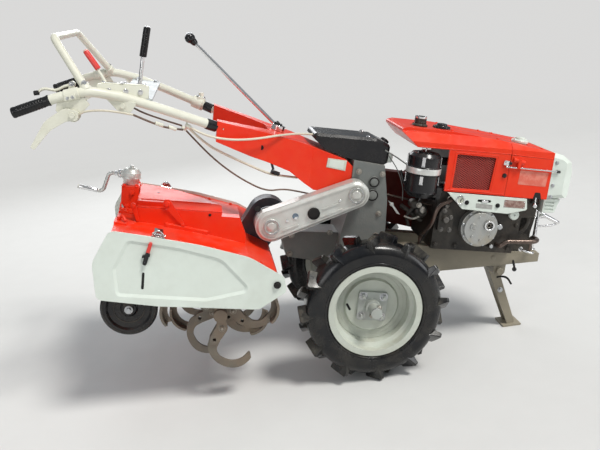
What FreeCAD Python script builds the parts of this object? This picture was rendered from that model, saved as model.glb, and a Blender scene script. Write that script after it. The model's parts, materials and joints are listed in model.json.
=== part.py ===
# Walking tractor: a two-wheel power tiller with a bolted-on rear rotary tiller, parked on its stand.
#
# Everything is modelled in the machine's own level frame: origin on the wheel axle, x forward, y to
# the left, z up, in millimetres. Each sub-part then gets the same parked placement, which pitches the
# machine nose down on to its front stand and lifts the axle to the rolling radius.

import FreeCAD
import Part

import math
import os

import Sketcher
from FreeCAD import Placement, Rotation, Vector

# Driving dimensions: alias, value, what it measures
SIZES = (
    # parked attitude and the two running clearances
    ("park_pitch", 11.0, "nose-down pitch on the stand, degrees"),
    ("axle_forward", 137.0, "axle ahead of the middle of the machine's length"),
    ("seat_gap", 0.3, "gap between two pieces that seat on each other"),
    ("running_fit", 0.05, "radial clearance of a shaft that turns in its bore"),
    # wheels
    ("tyre_height", 94.6, "tyre section, bead seat to tread"),
    ("wheel_spread", 290.0, "middle of the machine to the middle of a wheel"),
    ("tyre_width", 118.0, "tyre section width"),
    ("lug_height", 28.0, "lug tip above the tread"),
    ("lug_thickness", 24.0, "lug bar thickness"),
    ("lug_lean", 34.0, "lug bar to the wheel's own axis, degrees"),
    ("lug_count", 12.0, "lugs on each half of a tyre"),
    ("bead_radius", 152.4, "rim bead seat"),
    ("rim_flange_height", 17.6, "rim flange above the bead seat"),
    ("rim_width", 110.0, "rim over its flanges"),
    ("rim_sheet", 4.0, "rim and disc sheet"),
    ("well_depth", 14.0, "rim's well below the bead seat"),
    ("disc_depth", 78.0, "outer flange in to the disc's face"),
    ("disc_hole_radius", 31.0, "centre hole of the disc"),
    ("hub_plate_width", 108.0, "square hub plate across flats"),
    ("hub_plate_thickness", 12.0, "square hub plate"),
    ("hub_bolt_circle", 106.0, "wheel bolt circle diameter"),
    ("hub_bolt_radius", 6.0, "wheel bolt shank"),
    ("axle_radius", 20.0, "axle shaft"),
    ("axle_overhang", 18.0, "axle shaft beyond the rim's outer plane"),
    ("axle_inner_end", 60.0, "middle of the machine to the inner end of an axle shaft"),
    # gearbox and its axle housings
    ("gearbox_half_width", 105.0, "middle of the machine to the gearbox side"),
    ("housing_radius", 40.0, "axle housing tube"),
    ("housing_flange_radius", 62.0, "axle housing flange"),
    ("housing_flange_thickness", 14.0, "axle housing flange"),
    ("housing_end", 214.0, "middle of the machine to the end of an axle housing"),
    # power take-off chain case on the right
    ("case_upper_x", -83.0, "upper shaft of the chain case"),
    ("case_upper_z", 379.0, "upper shaft of the chain case"),
    ("case_upper_radius", 50.0, "upper end of the chain case"),
    ("case_lower_x", -379.0, "lower shaft of the chain case"),
    ("case_lower_z", 240.0, "lower shaft of the chain case"),
    ("case_lower_radius", 58.0, "lower end of the chain case"),
    ("case_gap", 7.0, "gearbox side to the chain case's inner face"),
    ("case_depth", 60.0, "chain case, inner to outer face"),
    # rotary tiller
    ("rotor_x", -546.0, "tine shaft"),
    ("rotor_z", -45.0, "tine shaft"),
    ("rotor_shaft_radius", 24.0, "tine shaft tube"),
    ("tine_first", 64.0, "middle of the machine to the first pair of tines"),
    ("tine_pitch", 64.5, "one pair of tines to the next along the shaft"),
    ("shaft_end", 10.0, "last pair of tines to the end of the tine shaft"),
    ("tine_radius", 211.0, "tine shaft to the tip circle"),
        ("tine_thickness", 9.0, "tine blade thickness"),
    ("tine_holder", 26.0, "tine holder along the shaft"),
    ("panel_y", 380.0, "middle of the machine to a side panel's outer face"),
    ("panel_sheet", 4.0, "side panel sheet"),
    ("hood_sheet", 4.0, "tiller hood sheet"),
    ("hood_box_y", 190.0, "middle of the machine to the wall of the hood's raised box"),
    ("hood_box_z", 300.0, "roof of the hood's raised box"),
    ("hood_wall_z", 284.0, "top edge of the raised box's wall"),
    ("hood_roof_slope", 60.0, "width of the sloping edge of the raised box's roof"),
    ("leg_half_width", 32.0, "centre drive leg"),
    # gauge wheel
    ("gauge_x", -876.0, "gauge wheel axle"),
    ("gauge_z", -160.0, "gauge wheel axle"),
    ("gauge_radius", 109.0, "gauge wheel"),
    ("gauge_width", 62.0, "gauge wheel"),
    ("gauge_leg_x", -892.0, "gauge leg"),
    ("gauge_leg_width", 30.0, "gauge leg square bar"),
    ("gauge_pin_radius", 8.0, "gauge wheel axle pin"),
    ("crank_z", 352.0, "crank shaft"),
    # chassis and stand
    ("beam_top_z", 187.0, "top of the chassis beams"),
    ("beam_rear_depth", 98.0, "chassis beam at the rear"),
    ("beam_front_depth", 34.0, "chassis beam at the front"),
    ("beam_front_x", 690.0, "front end of the chassis beams"),
    ("beam_y", 108.0, "middle of the machine to a beam's outer face"),
    ("beam_flange", 42.0, "chassis beam's inward flange"),
    ("stand_x", 540.0, "stand pivot"),
    ("stand_z", 104.0, "stand pivot"),
    ("stand_foot_x", 661.0, "stand foot"),
    ("stand_half_width", 30.0, "stand channel"),
    ("stand_pin_radius", 9.0, "stand pivot pin"),
    # engine and its covers
    ("hood_seat_z", 571.0, "top of the engine, where the hood rests"),
    ("deck_z", 414.0, "top of the crankcase, where the radiator stands"),
    ("cover_room", 20.0, "gap between the crankcase side and the engine's side panels"),
    ("skirt_stand_out", 10.0, "lower side panel proud of the engine's side panels"),
    ("skirt_sheet", 7.0, "lower side panel"),
    ("crankshaft_x", 405.0, "crankshaft"),
    ("crankshaft_z", 286.0, "crankshaft"),
    # handles
    ("bar_radius", 15.5, "handle tube"),
    ("loop_radius", 12.5, "upper loop tube"),
    ("grip_radius", 17.5, "rubber grip"),
    ("grip_length", 122.0, "rubber grip"),
    ("grip_y", 372.0, "middle of the machine to a grip's axis"),
    ("socket_y", 232.0, "middle of the machine to a handle tube's lower end"),
    ("bracket_half_width", 6.0, "half the width of a side-clutch bracket"),
    ("disc_step_reach", 30.0, "pressed step of the disc beyond the hub's flange"),
    ("disc_step", 10.0, "height of the disc's pressed step"),
    ("lug_reach", 70.0, "lug bar from the tyre's middle to its outer end"),
    ("lug_lead", 16.0, "lug bar's inner end ahead of its middle"),
    ("lug_rake_drop", 4.5, "lug's outer end below the tip circle's flat"),
    ("hub_barrel_radius", 33.0, "hub barrel"),
    ("hub_flange_radius", 66.0, "hub's inner flange"),
    ("hub_bolt_length", 34.0, "wheel bolt"),
    ("gearbox_front_x", 62.0, "front face of the gearbox"),
    ("gearbox_rear_x", -109.0, "rear face of the gearbox, where the hitch seats"),
    ("case_crown", 8.0, "raised field of the chain case"),
    ("case_boss_radius", 29.0, "shaft bosses of the chain case"),
    ("case_shaft_radius", 24.0, "shaft housing between gearbox and chain case"),
    ("hitch_half_width", 58.0, "middle of the machine to the hitch's side"),
    ("column_front_y", 100.0, "middle of the machine to the column's side at its front"),
    ("column_middle_y", 162.0, "middle of the machine to the column's side at the fork"),
    ("horn_half_width", 26.0, "half the width of a horn"),
    ("cover_half_width", 88.0, "middle of the machine to the top cover's side"),
    ("panel_emboss", 5.0, "depth of the side shield's embossed field"),
    ("notch_half_width", 62.0, "half the width of the notch for the gauge guide"),
    ("leg_foot_radius", 50.0, "centre drive round the tine shaft"),
    ("leg_head_radius", 74.0, "centre drive round the input shaft"),
    ("cross_tube_radius", 36.0, "cross tube from the chain case"),
    ("tine_bend", 40.0, "sideways reach of a tine's bent tip"),
    ("guide_clearance", 1.0, "sliding clearance round the gauge leg"),
    ("guide_wall", 5.0, "guide tube wall"),
    ("guide_foot_z", 40.0, "lower end of the guide tube"),
    ("gauge_leg_top_z", 230.0, "upper end of the gauge leg"),
    ("fork_top_z", -28.0, "top of the gauge wheel's fork"),
    ("fork_arm", 8.0, "fork arm"),
    ("gauge_side_gap", 2.0, "gap between gauge wheel and fork arm"),
    ("beam_sheet", 10.0, "beam web and flange"),
    ("stand_side_gap", 2.0, "gap beside the stand's channel"),
    ("stand_head_room", 30.0, "room round the stand's head"),
    ("stand_foot_z", -133.5, "axis of the stand's foot"),
    ("stand_foot_width", 86.0, "foot plate"),
    ("guard_y", 62.0, "middle of the machine to the guard's side"),
    ("block_half_width", 136.0, "middle of the machine to the crankcase side"),
    ("block_rear_x", 262.0, "rear face of the cylinder block"),
    ("gear_case_radius", 72.0, "gear case"),
    ("gear_case_depth", 28.0, "gear case up to its step"),
    ("clutch_x", -20.0, "clutch pulley"),
    ("clutch_z", 330.0, "clutch pulley"),
    ("clutch_drum_radius", 66.0, "clutch housing on the gearbox"),
    ("guard_rear_radius", 96.0, "belt guard round the clutch pulley"),
    ("guard_front_radius", 118.0, "belt guard round the flywheel"),
    ("guard_depth", 62.0, "belt guard"),
    ("cover_sheet", 9.0, "engine side panel"),
    ("grille_half_width", 146.0, "middle of the machine to the lower grille's side"),
    ("cleaner_radius", 61.0, "air cleaner"),
    ("cleaner_x", 166.0, "air cleaner"),
    ("cleaner_inset", 6.0, "air cleaner's axis inside the crankcase side"),
    ("socket_depth", 22.0, "handle tube inside its horn"),
    ("through", 2000.0, "length of a cut that passes right through"),
    ("field_depth", 3.0, "depth of the chain case's recessed field"),
    ("panel_slot", 8.0, "width of the slot in the side shield"),
    ("mesh_sheet", 2.0, "mesh sheet in the window of an engine side panel"),
    ("mesh_depth", 5.0, "mesh sheet behind the side panel's outer face"),
    ("mesh_lap", 7.0, "mesh sheet beyond the edges of its window"),
    ("mesh_pitch_x", 20.0, "one diamond of the mesh to the next along the machine"),
    ("mesh_pitch_z", 14.0, "one diamond of the mesh to the next upwards"),
    ("mesh_strand", 3.0, "strand of the mesh"),
    ("lever_blade", 10.0, "side-clutch lever's blade"),
    ("louvre_depth", 4.0, "depth of the lower grille's louvres"),
)


class Size:
    """A named size, or a sum, difference, product or share of sizes, as a number and as a formula."""

    def __init__(self, value, text):
        self.value = float(value)
        self.text = text

    def __float__(self):
        return self.value

    def __neg__(self):
        return Size(-self.value, f"-1 * {self.text}")

    def __add__(self, other):
        other = as_size(other)
        return Size(self.value + other.value, f"({self.text} + {other.text})")

    def __sub__(self, other):
        other = as_size(other)
        return Size(self.value - other.value, f"({self.text} - {other.text})")

    def __mul__(self, other):
        other = as_size(other)
        return Size(self.value * other.value, f"({self.text} * {other.text})")

    def __truediv__(self, other):
        other = as_size(other)
        return Size(self.value / other.value, f"({self.text} / {other.text})")

    __radd__ = __add__
    __rmul__ = __mul__

    def __rsub__(self, other):
        return as_size(other) - self


def as_size(value):
    if isinstance(value, Size):
        return value
    return Size(value, f"({float(value)!r})")


class Sheet:
    """The spreadsheet of driving dimensions, read as attributes."""

    def __init__(self, document, rows):
        self.sheet = document.addObject("Spreadsheet::Sheet", "Sheet")
        self.sizes = {}
        for line, (alias, value, meaning) in enumerate(rows, start=1):
            self.sheet.set(f"A{line}", alias)
            self.sheet.set(f"B{line}", repr(value))
            self.sheet.set(f"C{line}", meaning)
            self.sheet.setAlias(f"B{line}", alias)
            self.sizes[alias] = Size(value, f"Sheet.{alias}")

    def __getattr__(self, alias):
        return self.sizes[alias]


doc = FreeCAD.newDocument("WalkingTractor")
size = Sheet(doc, SIZES)
doc.recompute()
PARTS = []

# Sizes that follow from the driving ones
size.wheel_radius = size.bead_radius + size.tyre_height + size.lug_height
size.rim_flange_radius = size.bead_radius + size.rim_flange_height
size.well_radius = size.bead_radius - size.well_depth
size.disc_step_radius = size.hub_flange_radius + size.disc_step_reach
size.cover_y = size.block_half_width + size.cover_room + size.cover_sheet
size.skirt_y = size.cover_y + size.skirt_stand_out
size.cleaner_y = size.block_half_width - size.cleaner_inset
size.case_inner_y = size.gearbox_half_width + size.case_gap
size.case_outer_y = size.case_inner_y + size.case_depth
size.mesh_y = size.cover_y - size.mesh_depth - size.seat_gap


def bind(piece, path, value):
    """Tie one property of a piece to the driving dimensions."""
    if isinstance(value, Size):
        piece.setExpression(path, value.text)


def park(piece, name):
    """Give a finished sub-part its name and its parked placement."""
    piece.Label = name
    place = Vector(float(size.axle_forward), 0, float(size.wheel_radius))
    piece.Placement = Placement(place, Rotation(Vector(0, 1, 0), float(size.park_pitch)))
    bind(piece, "Placement.Base.x", size.axle_forward)
    bind(piece, "Placement.Base.z", size.wheel_radius)
    bind(piece, "Placement.Rotation.Angle", size.park_pitch)
    PARTS.append(piece)
    return piece


def new_body(name):
    return park(doc.addObject("PartDesign::Body", f"{name}_body"), name)


def finished(name, shape):
    """A sub-part whose shape comes from bent tubes or blades, which sketches don't reach."""
    piece = doc.addObject("Part::Feature", f"{name}_form")
    piece.Shape = shape
    return park(piece, name)


def origin_feature(body, role):
    return next(item for item in body.Origin.OriginFeatures if item.Role == role)


def add_loop(drawing, corners):
    """Closed outline of straight runs; a corner is (u, v) or (u, v, rounding radius)."""
    count = len(corners)
    spots = [Vector(float(corner[0]), float(corner[1]), 0) for corner in corners]
    starts, ends, arcs = [], [], []
    for index, corner in enumerate(corners):
        here = spots[index]
        if len(corner) < 3:
            ends.append(here)
            starts.append(here)
            arcs.append(None)
            continue
        to_last = (spots[index - 1] - here).normalize()
        to_next = (spots[(index + 1) % count] - here).normalize()
        half = to_last.getAngle(to_next) / 2
        radius = float(corner[2])
        ends.append(here + to_last * (radius / math.tan(half)))
        starts.append(here + to_next * (radius / math.tan(half)))
        middle = here + (to_last + to_next).normalize() * (radius / math.sin(half) - radius)
        arcs.append(Part.Arc(ends[-1], middle, starts[-1]))
    lines = []
    for index in range(count):
        run = Part.LineSegment(starts[index], ends[(index + 1) % count])
        lines.append(drawing.addGeometry(run, False))
    for index, corner in enumerate(corners):
        before, after = lines[index - 1], lines[index]
        if arcs[index] is None:
            drawing.addConstraint(Sketcher.Constraint("Coincident", before, 2, after, 1))
            spot, end = after, 1
        else:
            arc = drawing.addGeometry(arcs[index], False)
            left_turn = (spots[index] - spots[index - 1]).cross(starts[index] - spots[index]).z > 0
            first, last = (1, 2) if left_turn else (2, 1)
            drawing.addConstraint(Sketcher.Constraint("Tangent", before, 2, arc, first))
            drawing.addConstraint(Sketcher.Constraint("Tangent", arc, last, after, 1))
            row = drawing.addConstraint(Sketcher.Constraint("Radius", arc, float(corner[2])))
            bind(drawing, f"Constraints[{row}]", corner[2])
            spot = drawing.addGeometry(Part.Point(spots[index]), True)
            end = 1
            drawing.addConstraint(Sketcher.Constraint("PointOnObject", spot, 1, before))
            drawing.addConstraint(Sketcher.Constraint("PointOnObject", spot, 1, after))
        for kind, value in (("DistanceX", corner[0]), ("DistanceY", corner[1])):
            row = drawing.addConstraint(
                Sketcher.Constraint(kind, -1, 1, spot, end, float(value)))
            bind(drawing, f"Constraints[{row}]", value)


def add_circle(drawing, u, v, radius):
    ring = drawing.addGeometry(
        Part.Circle(Vector(float(u), float(v), 0), Vector(0, 0, 1), float(radius)), False)
    for kind, value in (("DistanceX", u), ("DistanceY", v)):
        row = drawing.addConstraint(Sketcher.Constraint(kind, -1, 1, ring, 3, float(value)))
        bind(drawing, f"Constraints[{row}]", value)
    row = drawing.addConstraint(Sketcher.Constraint("Radius", ring, float(radius)))
    bind(drawing, f"Constraints[{row}]", radius)


def sketch(body, role, loops=(), circles=(), shift=(0, 0, 0), turn=0):
    """Sketch on an origin plane: shift is along the sketch's u, v and normal, turn in degrees."""
    drawing = body.newObject("Sketcher::SketchObject", f"{body.Label}_sketch")
    drawing.AttachmentSupport = [(origin_feature(body, role), "")]
    drawing.MapMode = "FlatFace"
    drawing.AttachmentOffset = Placement(
        Vector(*(float(part) for part in shift)), Rotation(Vector(0, 0, 1), float(turn)))
    for axis, part in zip("xyz", shift):
        bind(drawing, f"AttachmentOffset.Base.{axis}", part)
    for corners in loops:
        add_loop(drawing, corners)
    for u, v, radius in circles:
        add_circle(drawing, u, v, radius)
    return drawing


def pad(body, drawing, length, both=False, back=False, kind="Pad"):
    """Pad (or pocket) a sketch by a length, to one side or to both sides evenly."""
    feature = body.newObject(f"PartDesign::{kind}", f"{body.Label}_{kind.lower()}")
    feature.Profile = drawing
    feature.Length = float(length)
    bind(feature, "Length", length)
    feature.SideType = "Symmetric" if both else "One side"
    feature.Reversed = back
    return feature


def cut(body, drawing, length, both=False, back=False):
    doc.recompute()
    before = body.Shape.Volume
    feature = pad(body, drawing, length, both, back, "Pocket")
    doc.recompute()
    if body.Shape.Volume > before - 1:
        raise ValueError(f"the pocket in {body.Label} takes nothing away")
    return feature


def spin(body, drawing, axis="H_Axis", angle=360, kind="Revolution"):
    """Revolve (or groove) a sketch about its own horizontal or vertical axis."""
    feature = body.newObject(f"PartDesign::{kind}", f"{body.Label}_{kind.lower()}")
    feature.Profile = drawing
    feature.ReferenceAxis = (drawing, [axis])
    feature.Angle = angle
    return feature


def soften(body, amount, chosen, kind="Chamfer"):
    """Bevel or round the edges of a sub-part that a test picks."""
    doc.recompute()
    base = body.Tip
    names = [f"Edge{place}" for place, edge in enumerate(base.Shape.Edges, 1) if chosen(edge)]
    feature = body.newObject(f"PartDesign::{kind}", f"{body.Label}_{kind.lower()}")
    feature.Base = (base, names)
    path = "Size" if kind == "Chamfer" else "Radius"
    setattr(feature, path, float(amount))
    bind(feature, path, amount)
    return feature


def on_side(edge, y):
    """True for an edge that lies in a plane square to the machine's width."""
    return all(abs(vertex.Point.y - float(y)) < 0.01 for vertex in edge.Vertexes)


def low_point(edge):
    return min(vertex.Point.z for vertex in edge.Vertexes)


def ring_of(body, feature, count, axis="Y_Axis"):
    """Repeat a feature evenly around one of the body's own axes."""
    pattern = body.newObject("PartDesign::PolarPattern", f"{body.Label}_pattern")
    pattern.Originals = [feature]
    pattern.Axis = (origin_feature(body, axis), [""])
    pattern.Angle = 360
    pattern.Occurrences = int(float(count))
    bind(pattern, "Occurrences", count)
    body.Tip = pattern
    return pattern


def add_belt(drawing, one, two):
    """Closed outline round two circles (u, v, radius), joined by their outer tangents."""
    centres = [Vector(float(spot[0]), float(spot[1]), 0) for spot in (one, two)]
    radii = [float(spot[2]) for spot in (one, two)]
    line = centres[1] - centres[0]
    lean = math.asin((radii[0] - radii[1]) / line.Length)
    heading = math.atan2(line.y, line.x)
    touch = []
    for side in (1, -1):
        angle = heading + side * (math.pi / 2 - lean)
        away = Vector(math.cos(angle), math.sin(angle), 0)
        touch.append([centres[end] + away * radii[end] for end in (0, 1)])
    upper = drawing.addGeometry(Part.LineSegment(touch[0][0], touch[0][1]), False)
    lower = drawing.addGeometry(Part.LineSegment(touch[1][1], touch[1][0]), False)
    forward = Vector(math.cos(heading), math.sin(heading), 0)
    nose = drawing.addGeometry(
        Part.Arc(touch[0][1], centres[1] + forward * radii[1], touch[1][1]), False)
    tail = drawing.addGeometry(
        Part.Arc(touch[1][0], centres[0] - forward * radii[0], touch[0][0]), False)
    for line_end, arc_end in (((upper, 2), (nose, 2)), ((lower, 1), (nose, 1)),
                              ((lower, 2), (tail, 2)), ((upper, 1), (tail, 1))):
        drawing.addConstraint(Sketcher.Constraint("Tangent", *line_end, *arc_end))
    for arc, spot in ((tail, one), (nose, two)):
        for kind, value in (("DistanceX", spot[0]), ("DistanceY", spot[1])):
            row = drawing.addConstraint(Sketcher.Constraint(kind, -1, 1, arc, 3, float(value)))
            bind(drawing, f"Constraints[{row}]", value)
        row = drawing.addConstraint(Sketcher.Constraint("Radius", arc, float(spot[2])))
        bind(drawing, f"Constraints[{row}]", spot[2])


def bent_rod(points, radius, bends=None):
    """Round rod along straight runs joined by tangent arcs; bends is one radius or one a corner."""
    spots = [Vector(*(float(part) for part in point)) for point in points]
    if bends is None or isinstance(bends, (int, float, Size)):
        bends = [bends] * (len(spots) - 2)
    edges = []
    start = spots[0]
    for corner, after, bend in zip(spots[1:], spots[2:], bends):
        inward = (start - corner).normalize()
        onward = (after - corner).normalize()
        half = inward.getAngle(onward) / 2
        if bend is None:
            shorter = min((corner - spots[spots.index(corner) - 1]).Length, (after - corner).Length)
            bend = 0.45 * shorter * math.tan(half)
        trim = float(bend) / math.tan(half)
        first = corner + inward * trim
        last = corner + onward * trim
        middle = corner + (inward + onward).normalize() * (float(bend) / math.sin(half) - float(bend))
        edges.append(Part.LineSegment(start, first).toShape())
        edges.append(Part.Arc(first, middle, last).toShape())
        start = last
    edges.append(Part.LineSegment(start, spots[-1]).toShape())
    path = Part.Wire(edges)
    ring = Part.Wire([Part.Circle(spots[0], spots[1] - spots[0], float(radius)).toShape()])
    rod = path.makePipeShell([ring], True, False)
    return rod


def rod_along(start, end, radius):
    """Straight round bar from one point to another."""
    start = Vector(*(float(part) for part in start))
    end = Vector(*(float(part) for part in end))
    return Part.makeCylinder(float(radius), (end - start).Length, start, end - start)


# Wheels

def rim(side, hand):
    """Pressed rim with its well and its dished disc, turned about the axle."""
    body = new_body(f"rim_{hand}")
    outer = size.wheel_spread + size.rim_width / 2
    inner = size.wheel_spread - size.rim_width / 2
    sheet = size.rim_sheet
    face = outer - size.disc_depth
    seat = size.bead_radius
    well = size.well_radius
    slope = sheet * 2
    profile = [
        (outer, size.rim_flange_radius), (outer - sheet, size.rim_flange_radius),
        (outer - sheet, seat), (face + 42, seat), (face + 42 - slope, well), (face - 2, well),
        (face - 2 - slope, seat), (inner + sheet, seat), (inner + sheet, size.rim_flange_radius),
        (inner, size.rim_flange_radius), (inner, seat - sheet), (face - 4 - slope, seat - sheet),
        (face - sheet, well - sheet), (face - sheet, size.disc_step_radius + 6),
        (face - sheet + size.disc_step, size.disc_step_radius),
        (face - sheet + size.disc_step, size.disc_hole_radius),
        (face + size.disc_step, size.disc_hole_radius),
        (face + size.disc_step, size.disc_step_radius),
        (face, size.disc_step_radius + 6), (face, well - sheet),
        (face + 44 - slope, well - sheet), (face + 44, seat - sheet), (outer, seat - sheet)]
    spin(body, sketch(body, "YZ_Plane", [[(y * side, r) for y, r in profile]]))
    hole = sketch(body, "XZ_Plane", turn=45, shift=(0, 0, (face + size.disc_step) * -side),
                  circles=[(0, size.hub_bolt_circle / 2, size.hub_bolt_radius + size.seat_gap)])
    ring_of(body, cut(body, hole, size.disc_step * 2, both=True), 4)
    return body


def tyre(side, hand):
    """Tyre carcass of narrow flats round the axle, with two rows of raked lugs half a pitch apart."""
    body = new_body(f"tyre_{hand}")
    tread = size.wheel_radius - size.lug_height
    bead = size.rim_width / 2 - size.rim_sheet - size.seat_gap
    half = size.tyre_width / 2
    belly = (size.rim_flange_radius + tread) / 2
    middle = size.wheel_spread * side
    flats = int(float(size.lug_count)) * 2
    rings = []
    for y, radius in ((-half, belly), (half * -0.7, tread), (half * 0.7, tread), (half, belly)):
        angles = [2 * math.pi * step / flats for step in range(flats)]
        ring = [(radius * math.cos(angle), radius * math.sin(angle)) for angle in angles]
        rings.append(sketch(body, "XZ_Plane", [ring], shift=(0, 0, -middle - y)))
    carcass = body.newObject("PartDesign::AdditiveLoft", f"{body.Label}_loft")
    carcass.Profile = rings[0]
    carcass.Sections = rings[1:]
    carcass.Ruled = True
    seat = size.bead_radius + size.seat_gap
    flange = size.rim_flange_radius + 3
    bore = [(-half - 2, 0), (-half - 2, flange), (-bead, flange), (-bead, seat), (bead, seat),
            (bead, flange), (half + 2, flange), (half + 2, 0)]
    spin(body, sketch(body, "YZ_Plane", [bore], shift=(middle, 0, 0)), kind="Groove")
    drop = size.lug_rake_drop
    bar = [(-4, tread - 16), (-4, size.wheel_radius - 1), (size.lug_reach - 6, size.wheel_radius - drop),
           (size.lug_reach, size.wheel_radius - drop - 8), (size.lug_reach - 12, belly + 8)]
    for row, half_pitch in ((1, 0), (-1, 0.5)):
        drawing = sketch(body, "YZ_Plane", [[(u * row, v) for u, v in bar]])
        rake = Rotation(Vector(0, 1, 0), row * float(size.lug_lean))
        step = Rotation(Vector(1, 0, 0), 360 * (half_pitch + 0.25) / float(size.lug_count))
        lead = Vector(float(size.wheel_spread * side), 0, float(size.lug_lead))
        drawing.AttachmentOffset = Placement(step.multVec(lead), step.multiply(rake))
        lug = pad(body, drawing, size.lug_thickness, both=True)
        ring_of(body, lug, size.lug_count)
    return body


def hub(side, hand):
    """Axle shaft with its inner flange, and the square plate that clamps the disc with four bolts."""
    body = new_body(f"hub_{hand}")
    outer = size.wheel_spread + size.rim_width / 2
    face = outer - size.disc_depth + size.disc_step
    back = face - size.rim_sheet - size.seat_gap
    profile = [
        (size.axle_inner_end, 0), (size.axle_inner_end, size.axle_radius),
        (size.housing_end + 4, size.axle_radius), (size.housing_end + 4, size.hub_barrel_radius),
        (back - 12, size.hub_barrel_radius), (back - 12, size.hub_flange_radius),
        (back, size.hub_flange_radius), (back, size.disc_hole_radius - 1),
        (face + size.hub_plate_thickness / 2, size.disc_hole_radius - 1),
        (face + size.hub_plate_thickness / 2, size.hub_barrel_radius - 4),
        (face + 34, size.hub_barrel_radius - 4), (face + 34, size.axle_radius),
        (outer + size.axle_overhang, size.axle_radius), (outer + size.axle_overhang, 0)]
    spin(body, sketch(body, "YZ_Plane", [[(y * side, r) for y, r in profile]]))
    edge = size.hub_plate_width / 2
    square = [(-edge, -edge, 10), (edge, -edge, 10), (edge, edge, 10), (-edge, edge, 10)]
    plate = sketch(body, "XZ_Plane", [square], shift=(0, 0, (face + size.seat_gap) * -side))
    pad(body, plate, size.hub_plate_thickness, back=side > 0)
    spot = size.hub_bolt_circle / 2
    shank = sketch(body, "XZ_Plane", circles=[(0, spot, size.hub_bolt_radius)],
                   shift=(0, 0, back * -side), turn=45)
    bolt = pad(body, shank, size.hub_bolt_length, back=side > 0)
    ring_of(body, bolt, 4)
    return body


# Gearbox, axle housings and drives

def gearbox():
    """Cast transmission case: final drive round the axle, tall upper case, shaft bosses and bores."""
    body = new_body("gearbox")
    outline = [
        (-92, 494), (26, 484), (52, 357, 20), (60, 249), (64, -30, 30), (30, -66, 24), (-40, -66, 24),
        (-88, -20, 20), (size.gearbox_rear_x, 75), (size.gearbox_rear_x, 206), (-92, 300)]
    wall = size.gearbox_half_width
    pad(body, sketch(body, "XZ_Plane", [outline]), wall * 2, both=True)
    for x, z, radius, height in GEARBOX_BOSSES:
        boss = sketch(body, "XZ_Plane", circles=[(x, z, radius)], shift=(0, 0, wall - 1))
        pad(body, boss, height + 1)
    drum = sketch(body, "XZ_Plane", circles=[(size.clutch_x, size.clutch_z, size.clutch_drum_radius)],
                  shift=(0, 0, 1 - wall))
    pad(body, drum, size.block_half_width - wall + 1, back=True)
    bore = sketch(body, "XZ_Plane", circles=[(0, 0, size.axle_radius + size.running_fit)])
    cut(body, bore, wall * 2 + 2, both=True)
    return body


# Bosses on the right side of the gearbox: x, z, radius, height
GEARBOX_BOSSES = (
    (-8, 420, 20, 8),
    (-9, 371, 22, 12),
    (20, 452, 7, 6),
    (-70, 455, 7, 6),
)


def axle_housings():
    """Flanged tube on each side of the gearbox, bored for the axle shaft."""
    body = new_body("axle_housings")
    body.AllowCompound = True
    start = size.gearbox_half_width
    bore = size.axle_radius + size.running_fit
    profile = [
        (start, bore), (start, size.housing_flange_radius),
        (start + size.housing_flange_thickness, size.housing_flange_radius),
        (start + size.housing_flange_thickness, size.housing_radius),
        (size.housing_end - 16, size.housing_radius), (size.housing_end - 16, size.housing_radius + 7),
        (size.housing_end, size.housing_radius + 7), (size.housing_end, bore)]
    right = spin(body, sketch(body, "YZ_Plane", [[(-y, r) for y, r in profile]]))
    mirror = body.newObject("PartDesign::Mirrored", "axle_housings_mirror")
    mirror.Originals = [right]
    mirror.MirrorPlane = (origin_feature(body, "XZ_Plane"), [""])
    body.Tip = mirror
    return body


def chain_case():
    """Power take-off chain case on the right: bevelled rim, recessed field, ring bosses and ribs."""
    body = new_body("chain_case")
    lower = (size.case_lower_x, size.case_lower_z)
    upper = (size.case_upper_x, size.case_upper_z)
    face = size.case_outer_y
    drawing = sketch(body, "XZ_Plane", shift=(0, 0, size.case_inner_y))
    add_belt(drawing, (*lower, size.case_lower_radius), (*upper, size.case_upper_radius))
    pad(body, drawing, size.case_depth - size.case_crown)
    crown = sketch(body, "XZ_Plane", shift=(0, 0, face - size.case_crown - 1))
    add_belt(crown, (*lower, size.case_lower_radius - 2), (*upper, size.case_upper_radius - 2))
    feature = pad(body, crown, size.case_crown + 1)
    feature.TaperAngle = -45
    field = sketch(body, "XZ_Plane", shift=(0, 0, face))
    add_belt(field, (*lower, size.case_lower_radius - 17), (*upper, size.case_upper_radius - 17))
    cut(body, field, size.field_depth)
    for spot in (lower, upper):
        boss = sketch(body, "XZ_Plane", circles=[(*spot, size.case_boss_radius)],
                      shift=(0, 0, face - size.field_depth - 1))
        pad(body, boss, size.field_depth + 7)
        groove = sketch(body, "XZ_Plane", shift=(0, 0, face + 6), circles=[
            (*spot, size.case_boss_radius - 6), (*spot, size.case_boss_radius - 12)])
        cut(body, groove, 5)
    for start, end in CASE_RIBS:
        rib = sketch(body, "XZ_Plane", shift=(0, 0, face - size.field_depth - 1))
        add_belt(rib, (*start, 3), (*end, 3))
        pad(body, rib, size.field_depth + 2)
    plug = sketch(body, "XZ_Plane", circles=[(
        (lower[0] + upper[0]) / 2, (lower[1] + upper[1]) / 2 - 9, 22)],
        shift=(0, 0, face - size.field_depth - 1))
    pad(body, plug, size.field_depth + 6)
    shaft = sketch(body, "XZ_Plane", circles=[(*upper, size.case_shaft_radius)],
                   shift=(0, 0, size.gearbox_half_width + size.seat_gap))
    pad(body, shaft, size.case_gap)
    return body


# Ribs on the chain case's field: x, z of both ends
CASE_RIBS = (
    ((-336, 229), (-284, 253)),
    ((-204, 288), (-130, 322)),
    ((-199, 318), (-142, 344)),
)


def rear_hitch():
    """Cast neck that joins the tiller to the back of the gearbox."""
    body = new_body("rear_hitch")
    start = size.gearbox_rear_x - size.seat_gap
    outline = [(start, 80), (start, 204), (-300, 196), (-322, 178, 12), (-300, 96, 20)]
    pad(body, sketch(body, "XZ_Plane", [outline]), size.hitch_half_width * 2, both=True)
    return body


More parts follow.
